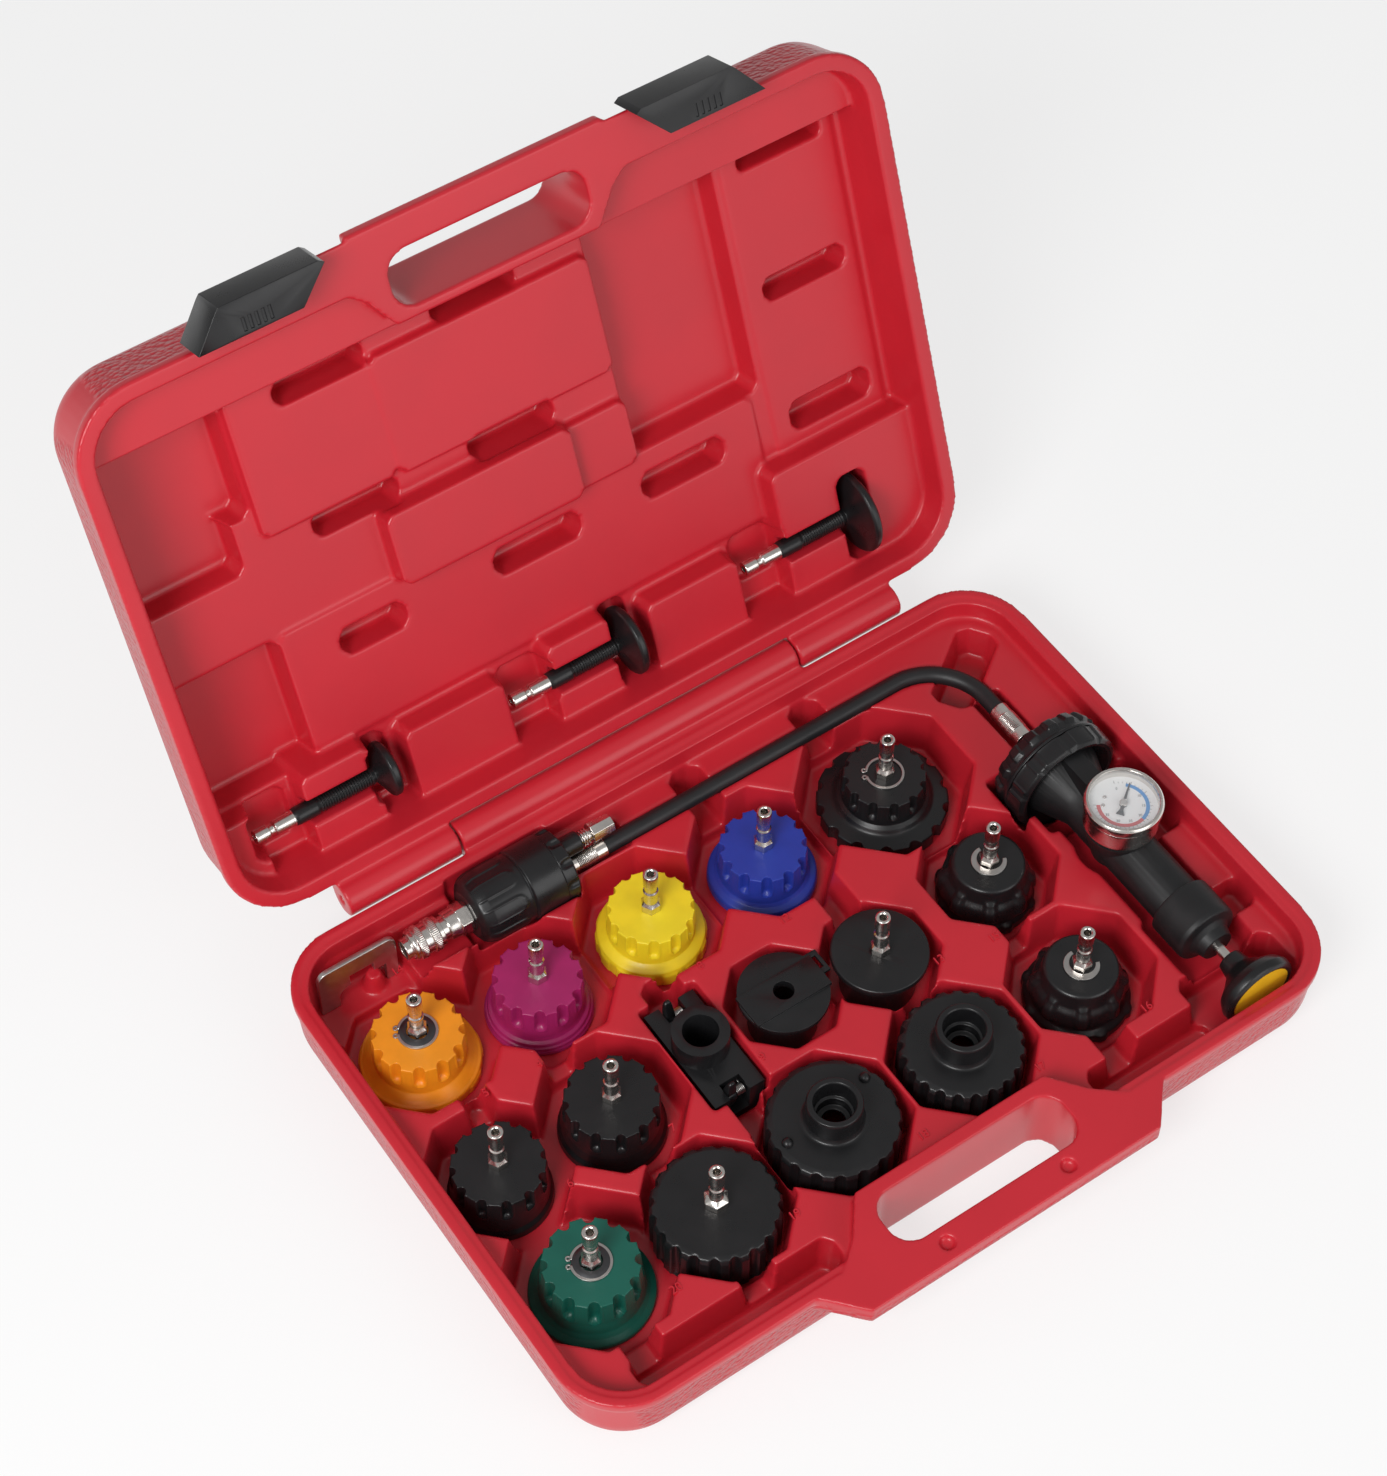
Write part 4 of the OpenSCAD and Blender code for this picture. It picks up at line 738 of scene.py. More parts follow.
def dome_caps():
    """Two caps with a plain raised top, ribs below it and lugs round the skirt."""
    r = 19.5
    for node in ("cap_dome_1", "cap_dome_2"):
        skirt = half_width(node)
        outline = [(r + 0.6, CAP_TOP - 4.5, 2), (r + 1.4, CAP_TOP - 9.5, 2.2), (r + 4.2, CAP_TOP - 13, 2.5),
                   (r + 5.2, FLOOR + 8, 2.0), (skirt - 1.4, FLOOR + 5.5, 1.8), (skirt - 1.2, FLOOR, 1.2)]

        def relief(angle, r_at, z, skirt=skirt):
            rib = 1 - step_up(off_centre(angle, 8, 0.2), 0.13, 0.16)
            band = step_up(z, CAP_TOP - 21, 3) * (1 - step_up(z, CAP_TOP - 8, 3))
            band = band * step_up(r_at, r - 1, 1)
            lug = 1 - step_up(off_centre(angle, 8, 0.6), 0.10, 0.12)
            low_band = (1 - step_up(z, FLOOR + 7, 2)) * step_up(r_at, skirt - 3, 1)
            return 2.0 * rib * band + 1.4 * lug * low_band, 0.0

        cap(node, outline, r, relief, soft=2.6)


def levers():
    """Two sprung levers: the flap on its pin, and the torsion spring of round wire beside it."""
    for node, way in (("lever_front", -1), ("lever_back", 1)):
        x, y, z = np.array(JOINT[node + "_turn"]["pos_m"]) / MM
        outline = rounded([(0, -11.9), (1.2, -11.9), (1.2, 11.9), (0, 11.9)], False, 0.3)
        pin = lathe(node + "_pin", outline, 32, None, lying_x(y, z, x))
        outline = rounded([(1.1, 0), (3.6, 0), (3.6, 5.2), (1.1, 5.2)])
        knuckle = lathe(node + "_knuckle", outline, 48, None, lying_x(y, z, x - 5.6))
        leaf = rounded([(-2.6, -8), (2.6, -8), (2.6, 6), (1.9, 14), (-1.9, 14), (-2.6, 6)], True, 2.2, 1.0)
        share = np.array([0.0, 0.9, 1.0, 1.0, 0.9, 0.0])[:, None]
        across, up = leaf[None, :, 0] * share - 3.0, (leaf[None, :, 1] - 3) * share + 3
        lean = way * 0.18 * np.maximum(up - 4, 0)
        thick = np.array([-1, -1, -0.8, 0.8, 1, 1])[:, None] * np.interp(up, [-8, 6, 14], [2.3, 2.3, 1.0])
        grid = np.stack([across + x, lean + thick + y, up + z], -1)
        plate = surface(node + "_flap", grid, False, True)
        dress(joined(node + "_form", [plate, knuckle, pin]), FINISH["black"], node)
        t = np.linspace(0, 1, 260)
        turns = 5.75 * TURN * t
        coil = np.stack([0.3 + 4.9 * t, 2.4 * np.cos(turns), 2.4 * np.sin(turns)], -1)
        foot = coil[:1] + np.array([[0, 0, -1]]) * np.linspace(6, 0.5, 8)[:, None]
        arm = coil[-1:] + np.array([[0, -way, 0.4]]) * np.linspace(0.5, 5, 8)[:, None]
        wire = tube(node + "_spring", np.concatenate([foot, coil, arm]), 0.4, 10, standing(x, y, z))
        attach(wire, FINISH["steel"], BODY_OF["lever_adapter"])


class TESTER_OT_caps(bpy.types.Operator):
    """Moulded caps of the adapters"""

    bl_idname = "tester.caps"
    bl_label = "Caps"

    def execute(self, context):
        coloured_caps()
        black_caps()
        dome_caps()
        wide_cap("cap_scalloped", 32.8, 20, 2.8, 2.6)
        collar_cap("collar_ball", 34.3, 18, 3.0, 1.9)
        collar_cap("collar_notched", 32.3, 22, 2.7, 2.6)
        x, y, _ = middle("collar_ball")
        half_turn = np.linspace(0, math.pi, 17)
        ball = np.stack([3 * np.sin(half_turn), -3 * np.cos(half_turn)], -1)
        balls = []
        for i, a in enumerate(np.radians([178, 20])):
            place = standing(x + 27.5 * math.cos(a), y + 27.5 * math.sin(a), CAP_TOP)
            balls.append(lathe(f"ball_{i}", ball, 48, None, place))
        attach(joined("collar_balls", balls), FINISH["black"], BODY_OF["collar_ball"])
        for node in ("disc_adapter", "lever_adapter", "bayonet_plate"):
            dress(softened(node, 0.5), FINISH["black"], node)
        levers()
        return {"FINISHED"}


# ------------------------------------------------------------------ nipples


def hexagon(angle, r, low, high, z):
    """What turns a round foot of corner radius r into a hexagon between two heights."""
    flat = r * math.cos(math.pi / 6) / np.cos(off_centre(angle, 6, math.pi / 6))
    return (flat - r) * step_up(z, low, 0.2) * (1 - step_up(z, high, 0.4))


def nipple_outline(foot, h):
    """Half-section of a push-in nipple h high: foot, shank, ring, neck, head and bored mouth."""
    z = CAP_TOP
    return [(0, z, 0), (foot, z, 0.3), (foot, z + 0.17 * h, 0.3), (3.7, z + 0.23 * h, 0.4),
            (3.6, z + 0.43 * h, 0.3), (4.0, z + 0.46 * h, 0.4), (4.0, z + 0.52 * h, 0.4),
            (3.3, z + 0.55 * h, 0.4), (3.3, z + 0.66 * h, 0.4), (4.0, z + 0.70 * h, 0.5),
            (4.0, z + h - 0.3, 0.9), (2.6, z + h, 0.5), (1.9, z + h - 0.6, 0.3), (1.8, z + h - 11, 0.5),
            (0, z + h - 11, 0)]


def clip_ring(name, x, y, z, outer, inner, thick, gap, turn, crescent=0.0):
    """Flat spring ring with a gap, carried round an arc; crescent narrows it towards the gap."""
    angle = np.linspace(gap, TURN - gap, 120)[:, None]
    bar = rounded([(0, 0), (1, 0), (1, thick), (0, thick)], True, 0.12, 3)
    hole = inner + crescent * (1 + np.cos(angle)) / 2
    r, up = hole + bar[None, :, 0] * (outer - hole), bar[None, :, 1] + z
    grid = np.stack([x + r * np.cos(angle + turn), y + r * np.sin(angle + turn), up + 0 * angle], -1)
    middle_line = grid.mean(1, keepdims=True)
    first, last = [np.repeat(end, grid.shape[1], 1) for end in (middle_line[:1], middle_line[-1:])]
    return surface(name, np.concatenate([first, grid, last]), False, True)


def fitting(node, foot, clip=None):
    """A nipple on its cap, with its washer and spring clip."""
    x, y, _ = middle(node)
    height = box_mm(node)[1][2] - CAP_TOP
    body, base, opening = BODY_OF[node], CAP_TOP + 0.1, math.radians(150)

    def relief(angle, r, z):
        is_foot = step_up(r, foot - 0.9, 0.3) * (r <= foot + 0.1)
        return hexagon(angle, foot, CAP_TOP - 1, CAP_TOP + 0.19 * height, z) * is_foot, 0.0

    turned(node, nipple_outline(foot, height), 96, standing(x, y), "nickel", relief, step=1.2)
    if clip == "washer":
        washer = [(foot + 0.2, CAP_TOP, 0), (9.8, CAP_TOP, 0.3), (9.8, CAP_TOP + 0.9, 0.4),
                  (7.6, CAP_TOP + 1.7, 1), (foot + 0.2, CAP_TOP + 1.9, 0.2)]
        added(node + "_washer", washer, 96, standing(x, y), "dark_steel", body, closed=True)
    if clip in ("washer", "circlip"):
        ring = clip_ring(node + "_clip", x, y, base, 10.6, 9.2, 1.0, 0.16, opening)
        attach(ring, FINISH["steel"], body)
        for side, letter in ((-1, "a"), (1, "b")):
            at = opening + side * 0.2
            place = standing(x + 11.2 * math.cos(at), y + 11.2 * math.sin(at), base)
            ear = [(0.6, 0), (1.5, 0), (1.5, 1), (0.6, 1)]
            added(f"{node}_ear_{letter}", ear, 32, place, "steel", body, 0.2, True)
    if clip == "e_clip":
        ring = clip_ring(node + "_clip", x, y, base, 9.4, 5.6, 0.9, 0.95, math.radians(31), 2.2)
        attach(ring, FINISH["steel"], body)


class TESTER_OT_fittings(bpy.types.Operator):
    """Nipples, washers and spring clips"""

    bl_idname = "tester.fittings"
    bl_label = "Nipples"

    def execute(self, context):
        clips = {"orange": "washer", "green": "washer", "two_step": "circlip",
                 "dome_1": "e_clip", "dome_2": "e_clip"}
        feet = {"scalloped": 6.7}
        for node in sorted(frame["nodes"]):
            if node.startswith("fitting_"):
                name = node[8:]
                fitting(node, feet.get(name, 5.5), clips.get(name))
        return {"FINISHED"}


# ------------------------------------------------------------------ pump and gauge


def pump_pieces():
    """Pump: barrel with its boss, ring nut, head, end collar, rod and knob, all round one axis."""
    x, _, z = middle("piston_rod")
    dress(softened("pump_barrel", 0.6, 3), FINISH["grainy"], "pump_barrel")
    low, high = box_mm("head_ring")
    r, depth, bore = half_width("head_ring") - 0.4, high[1] - low[1], 23.1
    section = [(bore, 5.6, 0.5), (r - 4.6, 0.3, 0.8), (r - 2.8, 0, 0.8), (r - 0.4, 2.2, 1.6),
               (r, depth - 0.6, 0.5), (r - 1.5, depth, 0.3), (bore, depth, 0.3)]

    def outlines(angle, r_at, z_at):
        across = off_centre(angle, 10) * r
        distance = np.maximum(np.abs(across), np.abs(z_at - depth * 0.55) * 1.35)
        edge = np.exp(-(((distance - 6.6) / 0.5) ** 2)) * step_up(r_at, r - 3, 2)
        return 0.45 * edge - 0.5 * step_up(across, 8.4, 0.8) * step_up(r_at, r - 3, 2), 0.0

    turned("head_ring", section, 360, lying_y(x, z, low[1]), "black", outlines, True, 0.8)
    low, high = box_mm("pump_head")
    depth = 13
    section = [(0, 0), (r, 0, 0.4), (r + 0.2, 1.5, 0.4), (r - 1.0, 2.2, 0.4), (r - 1.4, depth - 6, 0.8),
               (r - 3.6, depth, 1.4), (0, depth)]
    rim = teeth(16, r - 1.5, 1.8, depth - 7.5, depth + 1, 0.5, 0.0, 0.03)
    head = lathe("pump_head_form", rounded(section, False, step=1.0), 288, rim, lying_y(x, z, low[1]))
    inlet_x, inlet_z = box_mm("hose")[1][0] - HOSE_R, middle("hose")[2]
    section = rounded([(0, 0), (6.5, 0, 0.4), (6.5, 14, 0.6), (0, 14)], False)
    inlet = lathe("inlet", section, 64, None, lying_y(inlet_x, inlet_z, high[1] - 15))
    dress(joined("pump_head_form", [head, inlet]), FINISH["black"], "pump_head")
    low, _ = box_mm("pump_end_cap")
    outline = [(0, 0), (9, 0, 0.6), (10.5, 5, 1.5), (12.5, 7.4, 1.2), (17.4, 8.4, 1.4), (18, 11, 0.8),
               (18, 31, 0.8), (15, 32, 0.6), (0, 32)]
    turned("pump_end_cap", outline, 144, lying_y(x, z, low[1]), "grainy")
    for node, finish in (("piston_rod", "nickel"), ("piston_cup", "rubber"), ("gauge_stem", "brass")):
        paint(node, FINISH[finish])
    low, high = box_mm("pump_knob")
    r, depth = half_width("pump_knob"), high[1] - low[1]
    outline = [(0, 2), (r - 4, 2, 0.3), (r - 4, 0.4, 0.3), (r - 2.6, 0, 1), (r - 0.4, 1.4, 2), (r, 5, 2),
               (r - 2.5, 9.5, 2.5), (13, 13.6, 3), (8, 18, 3), (6.6, depth, 0.8), (0, depth)]
    turned("pump_knob", outline, 144, lying_y(x, z, low[1]), "black")
    paint("knob_disc", FINISH["gold"])


def dial_arc(name, start, end, inner, outer, lift):
    """Printed band on the dial: a flat ring sector between two angles, a shade proud of the dial."""
    x, y, _ = middle("gauge_dial")
    top = box_mm("gauge_dial")[1][2]
    angle = np.radians(np.linspace(start, end, 90))[:, None]
    r = np.array([inner, outer, outer, inner])[None]
    up = np.array([lift, lift, 0.0, 0.0])[None] + top
    grid = np.stack([x + r * np.cos(angle), y + r * np.sin(angle), up + 0 * angle], -1)
    core = grid.mean(1, keepdims=True)
    first, last = np.repeat(core[:1], 4, 1), np.repeat(core[-1:], 4, 1)
    piece = surface(name, np.concatenate([first, grid, last]), False, True)
    piece.data.shade_flat()
    return piece


def label(name, text, size, place, raise_by):
    """Flat raised figures, size millimetres high, set by a matrix in millimetres."""
    curve = bpy.data.curves.new(name, "FONT")
    curve.body = text
    curve.size = size
    curve.extrude = raise_by
    curve.align_x = "CENTER"
    curve.align_y = "CENTER"
    curve.resolution_u = 4
    holder = bpy.data.objects.new(name, curve)
    bpy.context.scene.collection.objects.link(holder)
    bpy.context.view_layer.update()
    graph = bpy.context.evaluated_depsgraph_get()
    mesh = bpy.data.meshes.new_from_object(holder.evaluated_get(graph))
    bpy.data.objects.remove(holder)
    mesh.transform(Matrix.Scale(MM, 4))
    piece = tidy_object(name, mesh, 1e-7)
    piece.data.shade_flat()
    return put(piece, place)


def gauge_pieces():
    """Gauge: turned case with its bezel, printed dial, needle and lens."""
    low, high = box_mm("gauge_case")
    x, y, _ = (low + high) / 2
    r, h = half_width("gauge_case"), high[2] - low[2]
    outline = [(0, 0), (r - 3.4, 0, 1.4), (r - 1.0, 2.4, 1.4), (r - 0.9, h - 7, 0.3), (r - 1.3, h - 6.6, 0.2),
               (r - 1.3, h - 6.2, 0.2), (r, h - 5.6, 0.5), (r, h - 1.6, 1.0), (r - 1.2, h, 0.8),
               (r - 2.4, h - 0.4, 0.4), (r - 2.9, h - 2.2, 0.5), (r - 2.9, h - 6.5, 0.2), (0, h - 6.5)]
    turned("gauge_case", outline, 192, standing(x, y, low[2]), "nickel")
    for node, finish in (("gauge_dial", "paper"), ("gauge_needle", "ink_black"), ("gauge_lens", "lens")):
        paint(node, FINISH[finish])
    top = box_mm("gauge_dial")[1][2]
    first, turn_of_colour, last = 70, -77, -214
    for colour_name, start, end in (("blue", 45, turn_of_colour), ("red", turn_of_colour, last)):
        band = dial_arc("dial_band_" + colour_name, start, end, 11.9, 13.9, 0.06)
        attach(band, FINISH["ink_" + colour_name], "tester")
    ticks = [dial_arc(f"tick_{i}", a - 0.4, a + 0.4, 13.9, 15.6 if i % 4 == 0 else 14.8, 0.05)
             for i, a in enumerate(np.linspace(first, last, 33))]
    figures = []
    for i, a in enumerate(np.radians(np.linspace(first, last, 9))):
        place = standing(x + 10.6 * math.cos(a), y + 10.6 * math.sin(a), top + 0.06)
        place = place @ Matrix.Rotation(math.radians(-32), 4, "Z")
        figures.append(label(f"figure_{i}", str(i * 5), 2.1, place, 0.03))
    attach(joined("dial_scale", ticks + figures), FINISH["ink_black"], "tester")
    head = rounded([(0, 0), (1.1, 0), (1.1, 0.5, 0.3), (0, 0.7)], False, 0.2)
    screws = []
    for i, a in enumerate(np.radians([118, 148])):
        place = standing(x + 10.4 * math.cos(a), y + 10.4 * math.sin(a), top)
        screws.append(lathe(f"dial_screw_{i}", head, 32, None, place))
    attach(joined("dial_screws", screws), FINISH["nickel"], "tester")
    needle_top = standing(x, y, box_mm("gauge_needle")[1][2])
    added("needle_hub", [(0, 0), (2.3, 0), (2.1, 1.0, 0.4), (0, 1.3)], 48, needle_top, "nickel",
          BODY_OF["gauge_needle"], 0.2)


class TESTER_OT_pump(bpy.types.Operator):
    """Hand pump with its gauge"""

    bl_idname = "tester.pump"
    bl_label = "Pump and gauge"

    def execute(self, context):
        pump_pieces()
        gauge_pieces()
        return {"FINISHED"}


# ------------------------------------------------------------------ hose line


def metal_ends():
    """Ferrules on the hose, rings of the relief valve's stem, coupler and its sliding sleeve."""
    low, _ = box_mm("hose_ferrules")
    _, hose_high = box_mm("hose")
    hose_x, hose_y, hose_z = hose_high[0] - HOSE_R, hose_high[1] - HOSE_R, middle("hose")[2]
    ribs = [point for t in np.arange(6, 17, 0.9) for point in ((5.6, t, 0.1), (6.0, t + 0.45, 0.2))]
    section = rounded([(4.85, 0, 0.2), (5.6, 0, 0.4), *ribs, (5.7, 17.5, 0.2), (5.7, 24, 0.4),
                       (4.85, 24, 0.2)], step=1.2)
    ends = [lathe("ferrule_a", section, 72, None, lying_x(hose_y, hose_z, low[0])),
            lathe("ferrule_b", section, 72, None, lying_y(hose_x, hose_z, low[1]))]
    dress(joined("hose_ferrules_form", ends), FINISH["nickel"], "hose_ferrules")

    def laid(node):
        """Matrix that lays a form along +X from the node's left end, on its axis."""
        _, y, z = middle(node)
        return lying_x(y, z, box_mm(node)[0][0])

    rings = [point for t in np.arange(4.4, 9.0, 1.6)
             for point in ((3.4, t, 0.1), (4.6, t + 0.1, 0.3), (4.6, t + 0.9, 0.3), (3.4, t + 1, 0.1))]
    stem = [(0, 0), (3.4, 0, 0.2), *rings, (3.4, 10.2, 0.2), (0, 10.2)]
    turned("relief_neck", stem, 72, laid("relief_neck"), "nickel")
    body = [(0, 19), (4.1, 19, 0.3), (4.1, 0.3, 0.3), (4.9, 0, 0.3), (5.9, 0, 0.5), (5.9, 3.4, 0.2),
            (6.5, 3.7, 0.3), (6.5, 25.3, 0.2), (7.8, 25.4, 0.6), (8.3, 31.6, 0.4), (9.2, 32, 0.4),
            (9.2, 38.8, 0.4), (4.95, 39, 0.3), (4.95, 50, 0.4), (0, 50)]

    def hexagonal(angle, r_at, z_at):
        return hexagon(angle, 9.2, 31.9, 39.0, z_at) * step_up(r_at, 8.8, 0.3), 0.0

    turned("coupler_body", body, 96, laid("coupler_body"), "nickel", hexagonal)
    sleeve = [(6.55, 0, 0.3), (7.6, 0, 0.6), (8.3, 1, 0.4), (8.3, 2.3, 0.2), (9.2, 2.8, 0.3), (9.2, 6.7, 0.3),
              (8.3, 7.2, 0.2), (8.3, 10.8, 0.2), (9.2, 11.3, 0.3), (9.2, 15.2, 0.3), (8.3, 15.7, 0.2),
              (8.3, 18, 0.4), (6.55, 18, 0.2)]

    def knurl(angle, r_at, z_at):
        return 0.14 * np.sin(54 * angle) * np.sin(z_at * 4.4) * step_up(r_at, 8.9, 0.3), 0.0

    turned("coupler_sleeve", sleeve, 432, laid("coupler_sleeve"), "nickel", knurl, True, 1.0)


class TESTER_OT_hose_line(bpy.types.Operator):
    """Hose, grip body, relief valve and coupler"""

    bl_idname = "tester.hose_line"
    bl_label = "Hose line"

    def execute(self, context):
        paint("hose", FINISH["rubber"])
        metal_ends()
        low, high = box_mm("grip_body")
        _, y, z = (low + high) / 2
        length = high[0] - low[0]
        outline = [(0, 0), (13, 0, 2), (17.6, 2.4, 3), (19.2, 8, 3), (19.4, 30, 1), (19.0, 31, 0.3),
                   (20.4, 31.8, 0.6), (20.4, length, 0.4), (0, length)]

        def lobes(angle, r_at, z_at):
            distance = np.hypot(off_centre(angle, 8, 0.2) * 20, np.maximum(z_at - 22, 0))
            side = step_up(r_at, 15, 3) * (1 - step_up(z_at, 30, 1.5)) * step_up(z_at, 4, 3)
            edge = np.exp(-(((distance - 4.7) / 0.55) ** 2))
            return side * (0.45 * (1 - step_up(distance, 4.7, 0.9)) + 0.45 * edge), 0.0

        turned("grip_body", outline, 288, lying_x(y, z, low[0]), "black", lobes, step=1.2)
        length = 8
        outline = [(0, 0), (20.2, 0, 0.4), (20.2, length - 1, 0.8), (18.6, length, 0.6), (0, length)]
        notches = flutes(10, length, 20.2, 2.6, 1.8, 7.0, 0.0, 0.0)
        outline = rounded(outline, False, step=1.2)
        notched = lathe("grip_cap_form", outline, 288, notches, lying_x(y, z, high[0]))
        _, y, z = middle("relief_knob")
        outline = rounded([(0, 0), (5.8, 0), (5.8, 19.6), (4.6, 20.6), (0, 20.6)], False, 0.6)
        neck = lathe("relief_valve_neck", outline, 64, None, lying_x(y, z, high[0]))
        dress(joined("grip_cap_form", [notched, neck]), FINISH["black"], "grip_cap")
        dress(softened("relief_knob", 0.25), FINISH["nickel"], "relief_knob")
        dress(softened("bracket_plate", 0.6, 3), FINISH["steel"], "bracket_plate")
        return {"FINISHED"}


DECK = 33  # height of the tray's top faces
MARKS = {14: (-172, 120), 5: (-173, 34), 4: (-142, 33), 8: (-42, 35), 12: (10, 34), 6: (-166, -32),
         7: (-107, -35), 9: (-47, -27), 13: (61, -31), 15: (93, -36), 16: (131, -113), 17: (65, -110),
         18: (-7, -108), 19: (-85, -108), 20: (-155, -108)}  # each number's place on the deck


def number_marks():
    """Raised numbers beside the pockets."""
    marks = [label(f"mark_{n}", str(n), 6.5, standing(x, y, DECK), 0.6) for n, (x, y) in MARKS.items()]
    attach(joined("number_marks", marks), FINISH["red"], "root")


class TESTER_OT_plugs(bpy.types.Operator):
    """Expanding plugs in the lid, and the numbers beside the pockets"""

    bl_idname = "tester.plugs"
    bl_label = "Plugs"

    def execute(self, context):
        for node in ("plug_1", "plug_2", "plug_3"):
            low, high = box_mm(node)
            _, y, z = (low + high) / 2
            r, long = (high[1] - low[1]) / 2, high[0] - low[0]
            back = long - 10.5
            place = lying_x(y, z, low[0])
            threads = np.arange(38, back - 2, 1.5)
            screw = [point for t in threads for point in ((4.0, t, 0.15), (4.9, t + 0.75, 0.2))]
            stem = [(0, 23), (4.6, 23, 0.4), (5.0, 25, 0.5), (5.0, 36, 0.6), *screw, (4.2, back, 0.3),
                    (r - 1, back + 5, 1), (r, back + 6, 0.8), (r, back + 8.5, 1), (r - 1.5, back + 10, 0.8),
                    (0.6 * r, long, 2), (0, long)]
            turned(node, stem, 96, place, "black", step=1.2)
            mouth = [(0, 12), (1.7, 12), (1.7, 0.4, 0.2), (2.6, 0, 0.3), (4, 0.4, 0.7), (4, 8, 0.3),
                     (3, 9, 0.3), (3, 11, 0.3), (4, 12, 0.3), (4.4, 23.5, 0.2), (0, 23.5)]
            added(node + "_nipple", mouth, 72, place, "nickel", BODY_OF[node])
        number_marks()
        return {"FINISHED"}


# ------------------------------------------------------------------ stage

CAMERA_PLACE = (-0.55097, -0.68635, 1.44390)
CAMERA_HEADING = math.radians(34.315)
CAMERA_DIP = math.radians(53.210)
CAMERA_LENS = 78.895
CAMERA_SHIFT = (0.01323, -0.02793)


def area_light(name, place, aim, size, power):
    """Round lamp at a place, turned to what it lights, in metres and watts."""
    lamp = bpy.data.lights.new(name, "AREA")
    lamp.shape = "DISK"
    lamp.size = size
    lamp.energy = power
    holder = bpy.data.objects.new(name, lamp)
    holder.location = place
    holder.rotation_euler = (Vector(aim) - Vector(place)).to_track_quat("-Z", "Y").to_euler()
    bpy.context.scene.collection.objects.link(holder)


def white_to_the_eye(tree, lit, white, kinds=("Is Glossy Ray", "Is Transmission Ray"), share=1.0):
    """Mixes in a shader that the named kinds of rays see, and that camera rays see by that share."""
    path = tree.nodes.new("ShaderNodeLightPath")
    part = tree.nodes.new("ShaderNodeMath")
    part.operation = "MULTIPLY"
    part.inputs[1].default_value = share
    tree.links.new(path.outputs["Is Camera Ray"], part.inputs[0])
    seen = part.outputs[0]
    for kind in kinds:
        most = tree.nodes.new("ShaderNodeMath")
        most.operation = "MAXIMUM"
        tree.links.new(seen, most.inputs[0])
        tree.links.new(path.outputs[kind], most.inputs[1])
        seen = most.outputs[0]
    mix = tree.nodes.new("ShaderNodeMixShader")
    tree.links.new(seen, mix.inputs[0])
    tree.links.new(lit, mix.inputs[1])
    tree.links.new(white, mix.inputs[2])
    return mix.outputs[0]


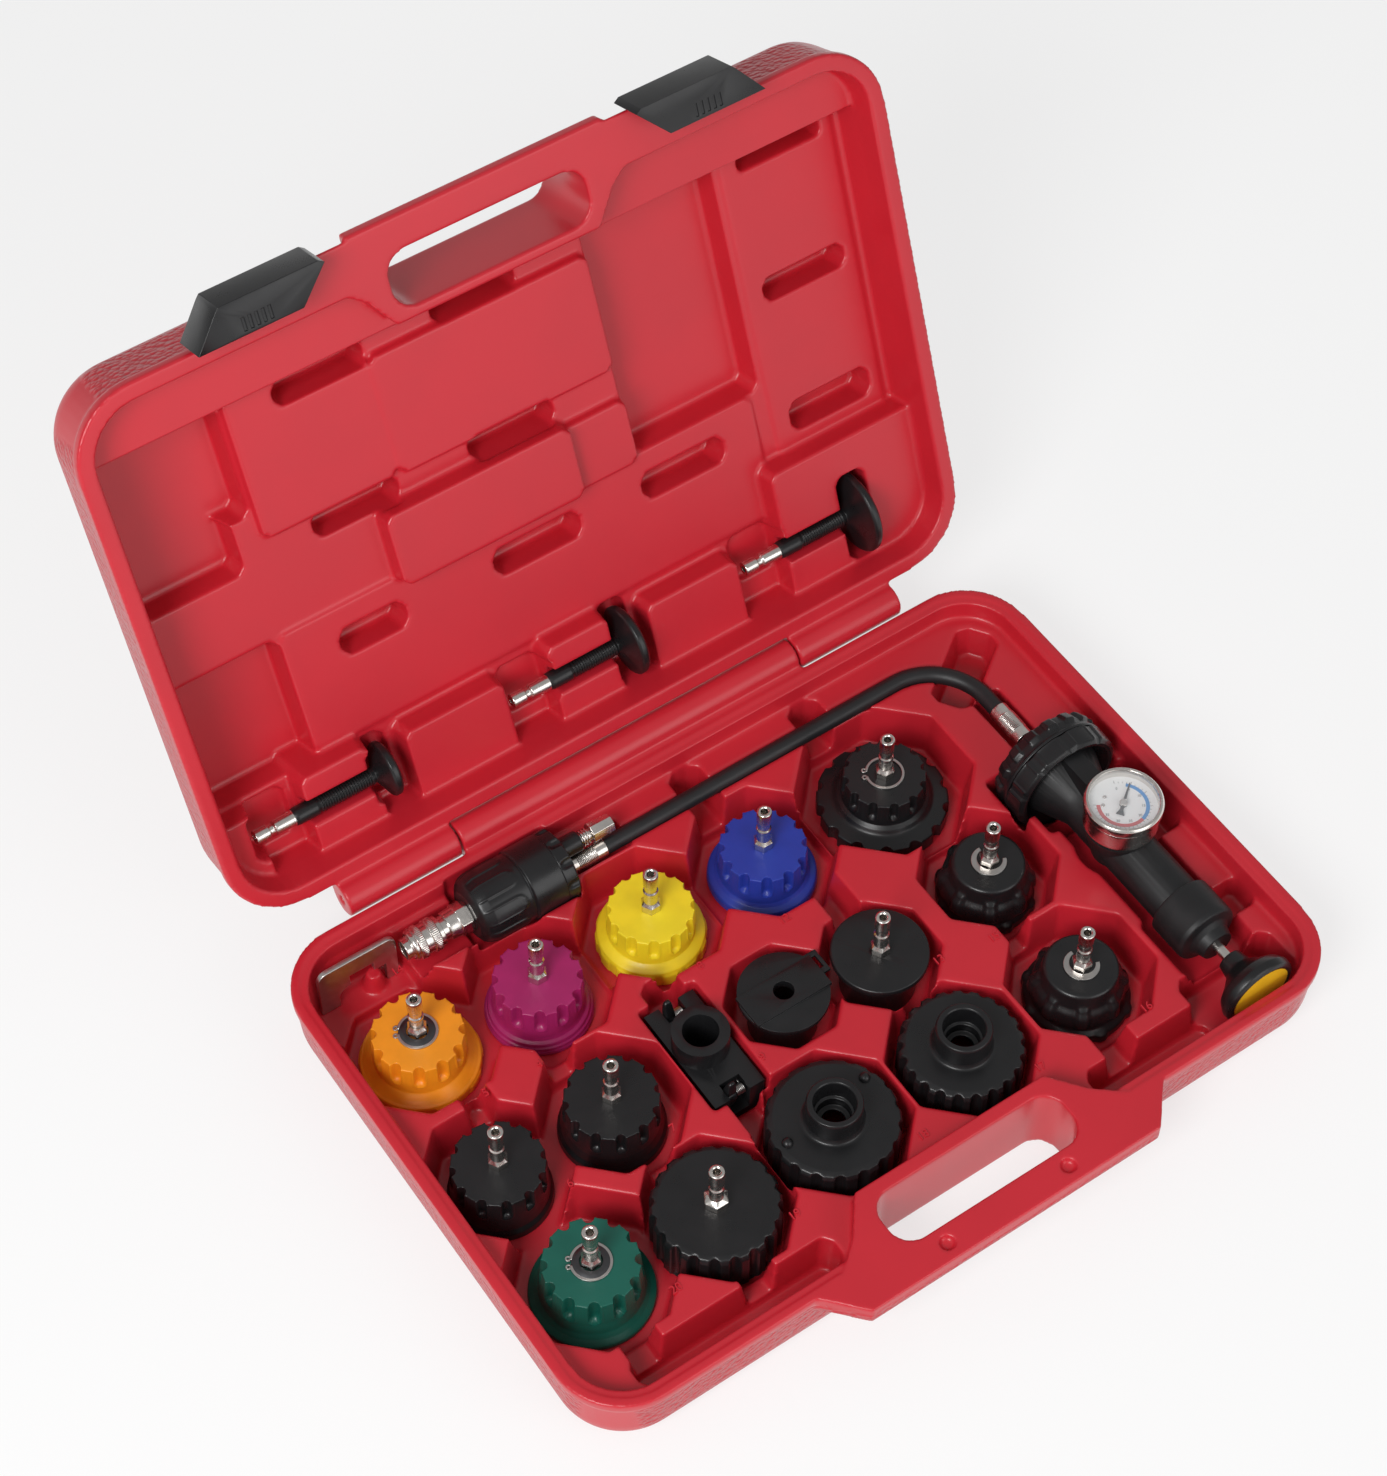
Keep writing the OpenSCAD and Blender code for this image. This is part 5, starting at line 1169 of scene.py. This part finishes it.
class TESTER_OT_stage(bpy.types.Operator):
    """Pale floor, soft light and the camera"""

    bl_idname = "tester.stage"
    bl_label = "Stage"

    def execute(self, context):
        scene = context.scene
        settings = scene.tester_stage
        scene.view_settings.view_transform = "Standard"
        bpy.ops.mesh.primitive_plane_add(size=14)
        floor = context.object
        floor.name = "floor"
        pale = Finish("floor_pale", Base_Color=(0.90, 0.90, 0.90), Roughness=0.9)
        glow = pale.tree.nodes.new("ShaderNodeEmission")
        out = pale.tree.nodes["Material Output"]
        seen = white_to_the_eye(pale.tree, pale.shader.outputs[0], glow.outputs[0], share=0.7)
        pale.tree.links.new(seen, out.inputs["Surface"])
        floor.data.materials.append(pale.material)
        world = bpy.data.worlds.new("surroundings")
        scene.world = world
        world.use_nodes = True
        tree = world.node_tree
        tree.nodes.clear()
        sky, white = tree.nodes.new("ShaderNodeBackground"), tree.nodes.new("ShaderNodeBackground")
        sky.inputs["Strength"].default_value = settings.sky
        white.inputs["Strength"].default_value = 1.0
        for background in (sky, white):
            background.inputs["Color"].default_value = (1, 1, 1, 1)
        out = tree.nodes.new("ShaderNodeOutputWorld")
        tree.links.new(white_to_the_eye(tree, sky.outputs[0], white.outputs[0], ()), out.inputs["Surface"])
        area_light("key", (-1.45, -0.75, 1.5), (0, 0.05, 0.05), 1.0, settings.key)
        area_light("fill", (0.5, -1.7, 0.9), (0, 0, 0.1), 1.5, settings.fill)
        lens = bpy.data.cameras.new("camera")
        lens.sensor_fit = "AUTO"
        lens.sensor_width = 36
        lens.lens = CAMERA_LENS
        lens.shift_x, lens.shift_y = CAMERA_SHIFT
        camera = bpy.data.objects.new("camera", lens)
        camera.location = CAMERA_PLACE
        camera.rotation_euler = (math.pi / 2 - CAMERA_DIP, 0, -CAMERA_HEADING)
        scene.collection.objects.link(camera)
        scene.camera = camera
        return {"FINISHED"}


class TESTER_PT_panel(bpy.types.Panel):
    bl_label = "Tester Kit"
    bl_idname = "TESTER_PT_panel"
    bl_space_type = "VIEW_3D"
    bl_region_type = "UI"
    bl_category = "Tester Kit"

    def draw(self, context):
        for operator in OPERATORS:
            self.layout.operator(operator.bl_idname)
        for group in GROUPS:
            for name in getattr(context.scene, group).__annotations__:
                self.layout.prop(getattr(context.scene, group), name)


OPERATORS = (TESTER_OT_stage, TESTER_OT_case, TESTER_OT_caps, TESTER_OT_fittings, TESTER_OT_pump,
             TESTER_OT_hose_line, TESTER_OT_plugs)
GROUPS = {"tester_case": TesterCaseSettings, "tester_caps": TesterCapSettings,
          "tester_metal": TesterMetalSettings, "tester_stage": TesterStageSettings}


def register():
    for group in GROUPS.values():
        bpy.utils.register_class(group)
    for name, group in GROUPS.items():
        setattr(bpy.types.Scene, name, PointerProperty(type=group))
    for one in (*OPERATORS, TESTER_PT_panel):
        bpy.utils.register_class(one)


def unregister():
    for one in reversed((*OPERATORS, TESTER_PT_panel)):
        bpy.utils.unregister_class(one)
    for name in GROUPS:
        delattr(bpy.types.Scene, name)
    for group in reversed(GROUPS.values()):
        bpy.utils.unregister_class(group)


def main():
    """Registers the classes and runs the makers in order."""
    register()
    make_finishes()
    bpy.ops.tester.stage()
    bpy.ops.tester.case()
    bpy.ops.tester.caps()
    bpy.ops.tester.fittings()
    bpy.ops.tester.pump()
    bpy.ops.tester.hose_line()
    bpy.ops.tester.plugs()


if __name__ == "__main__":
    main()
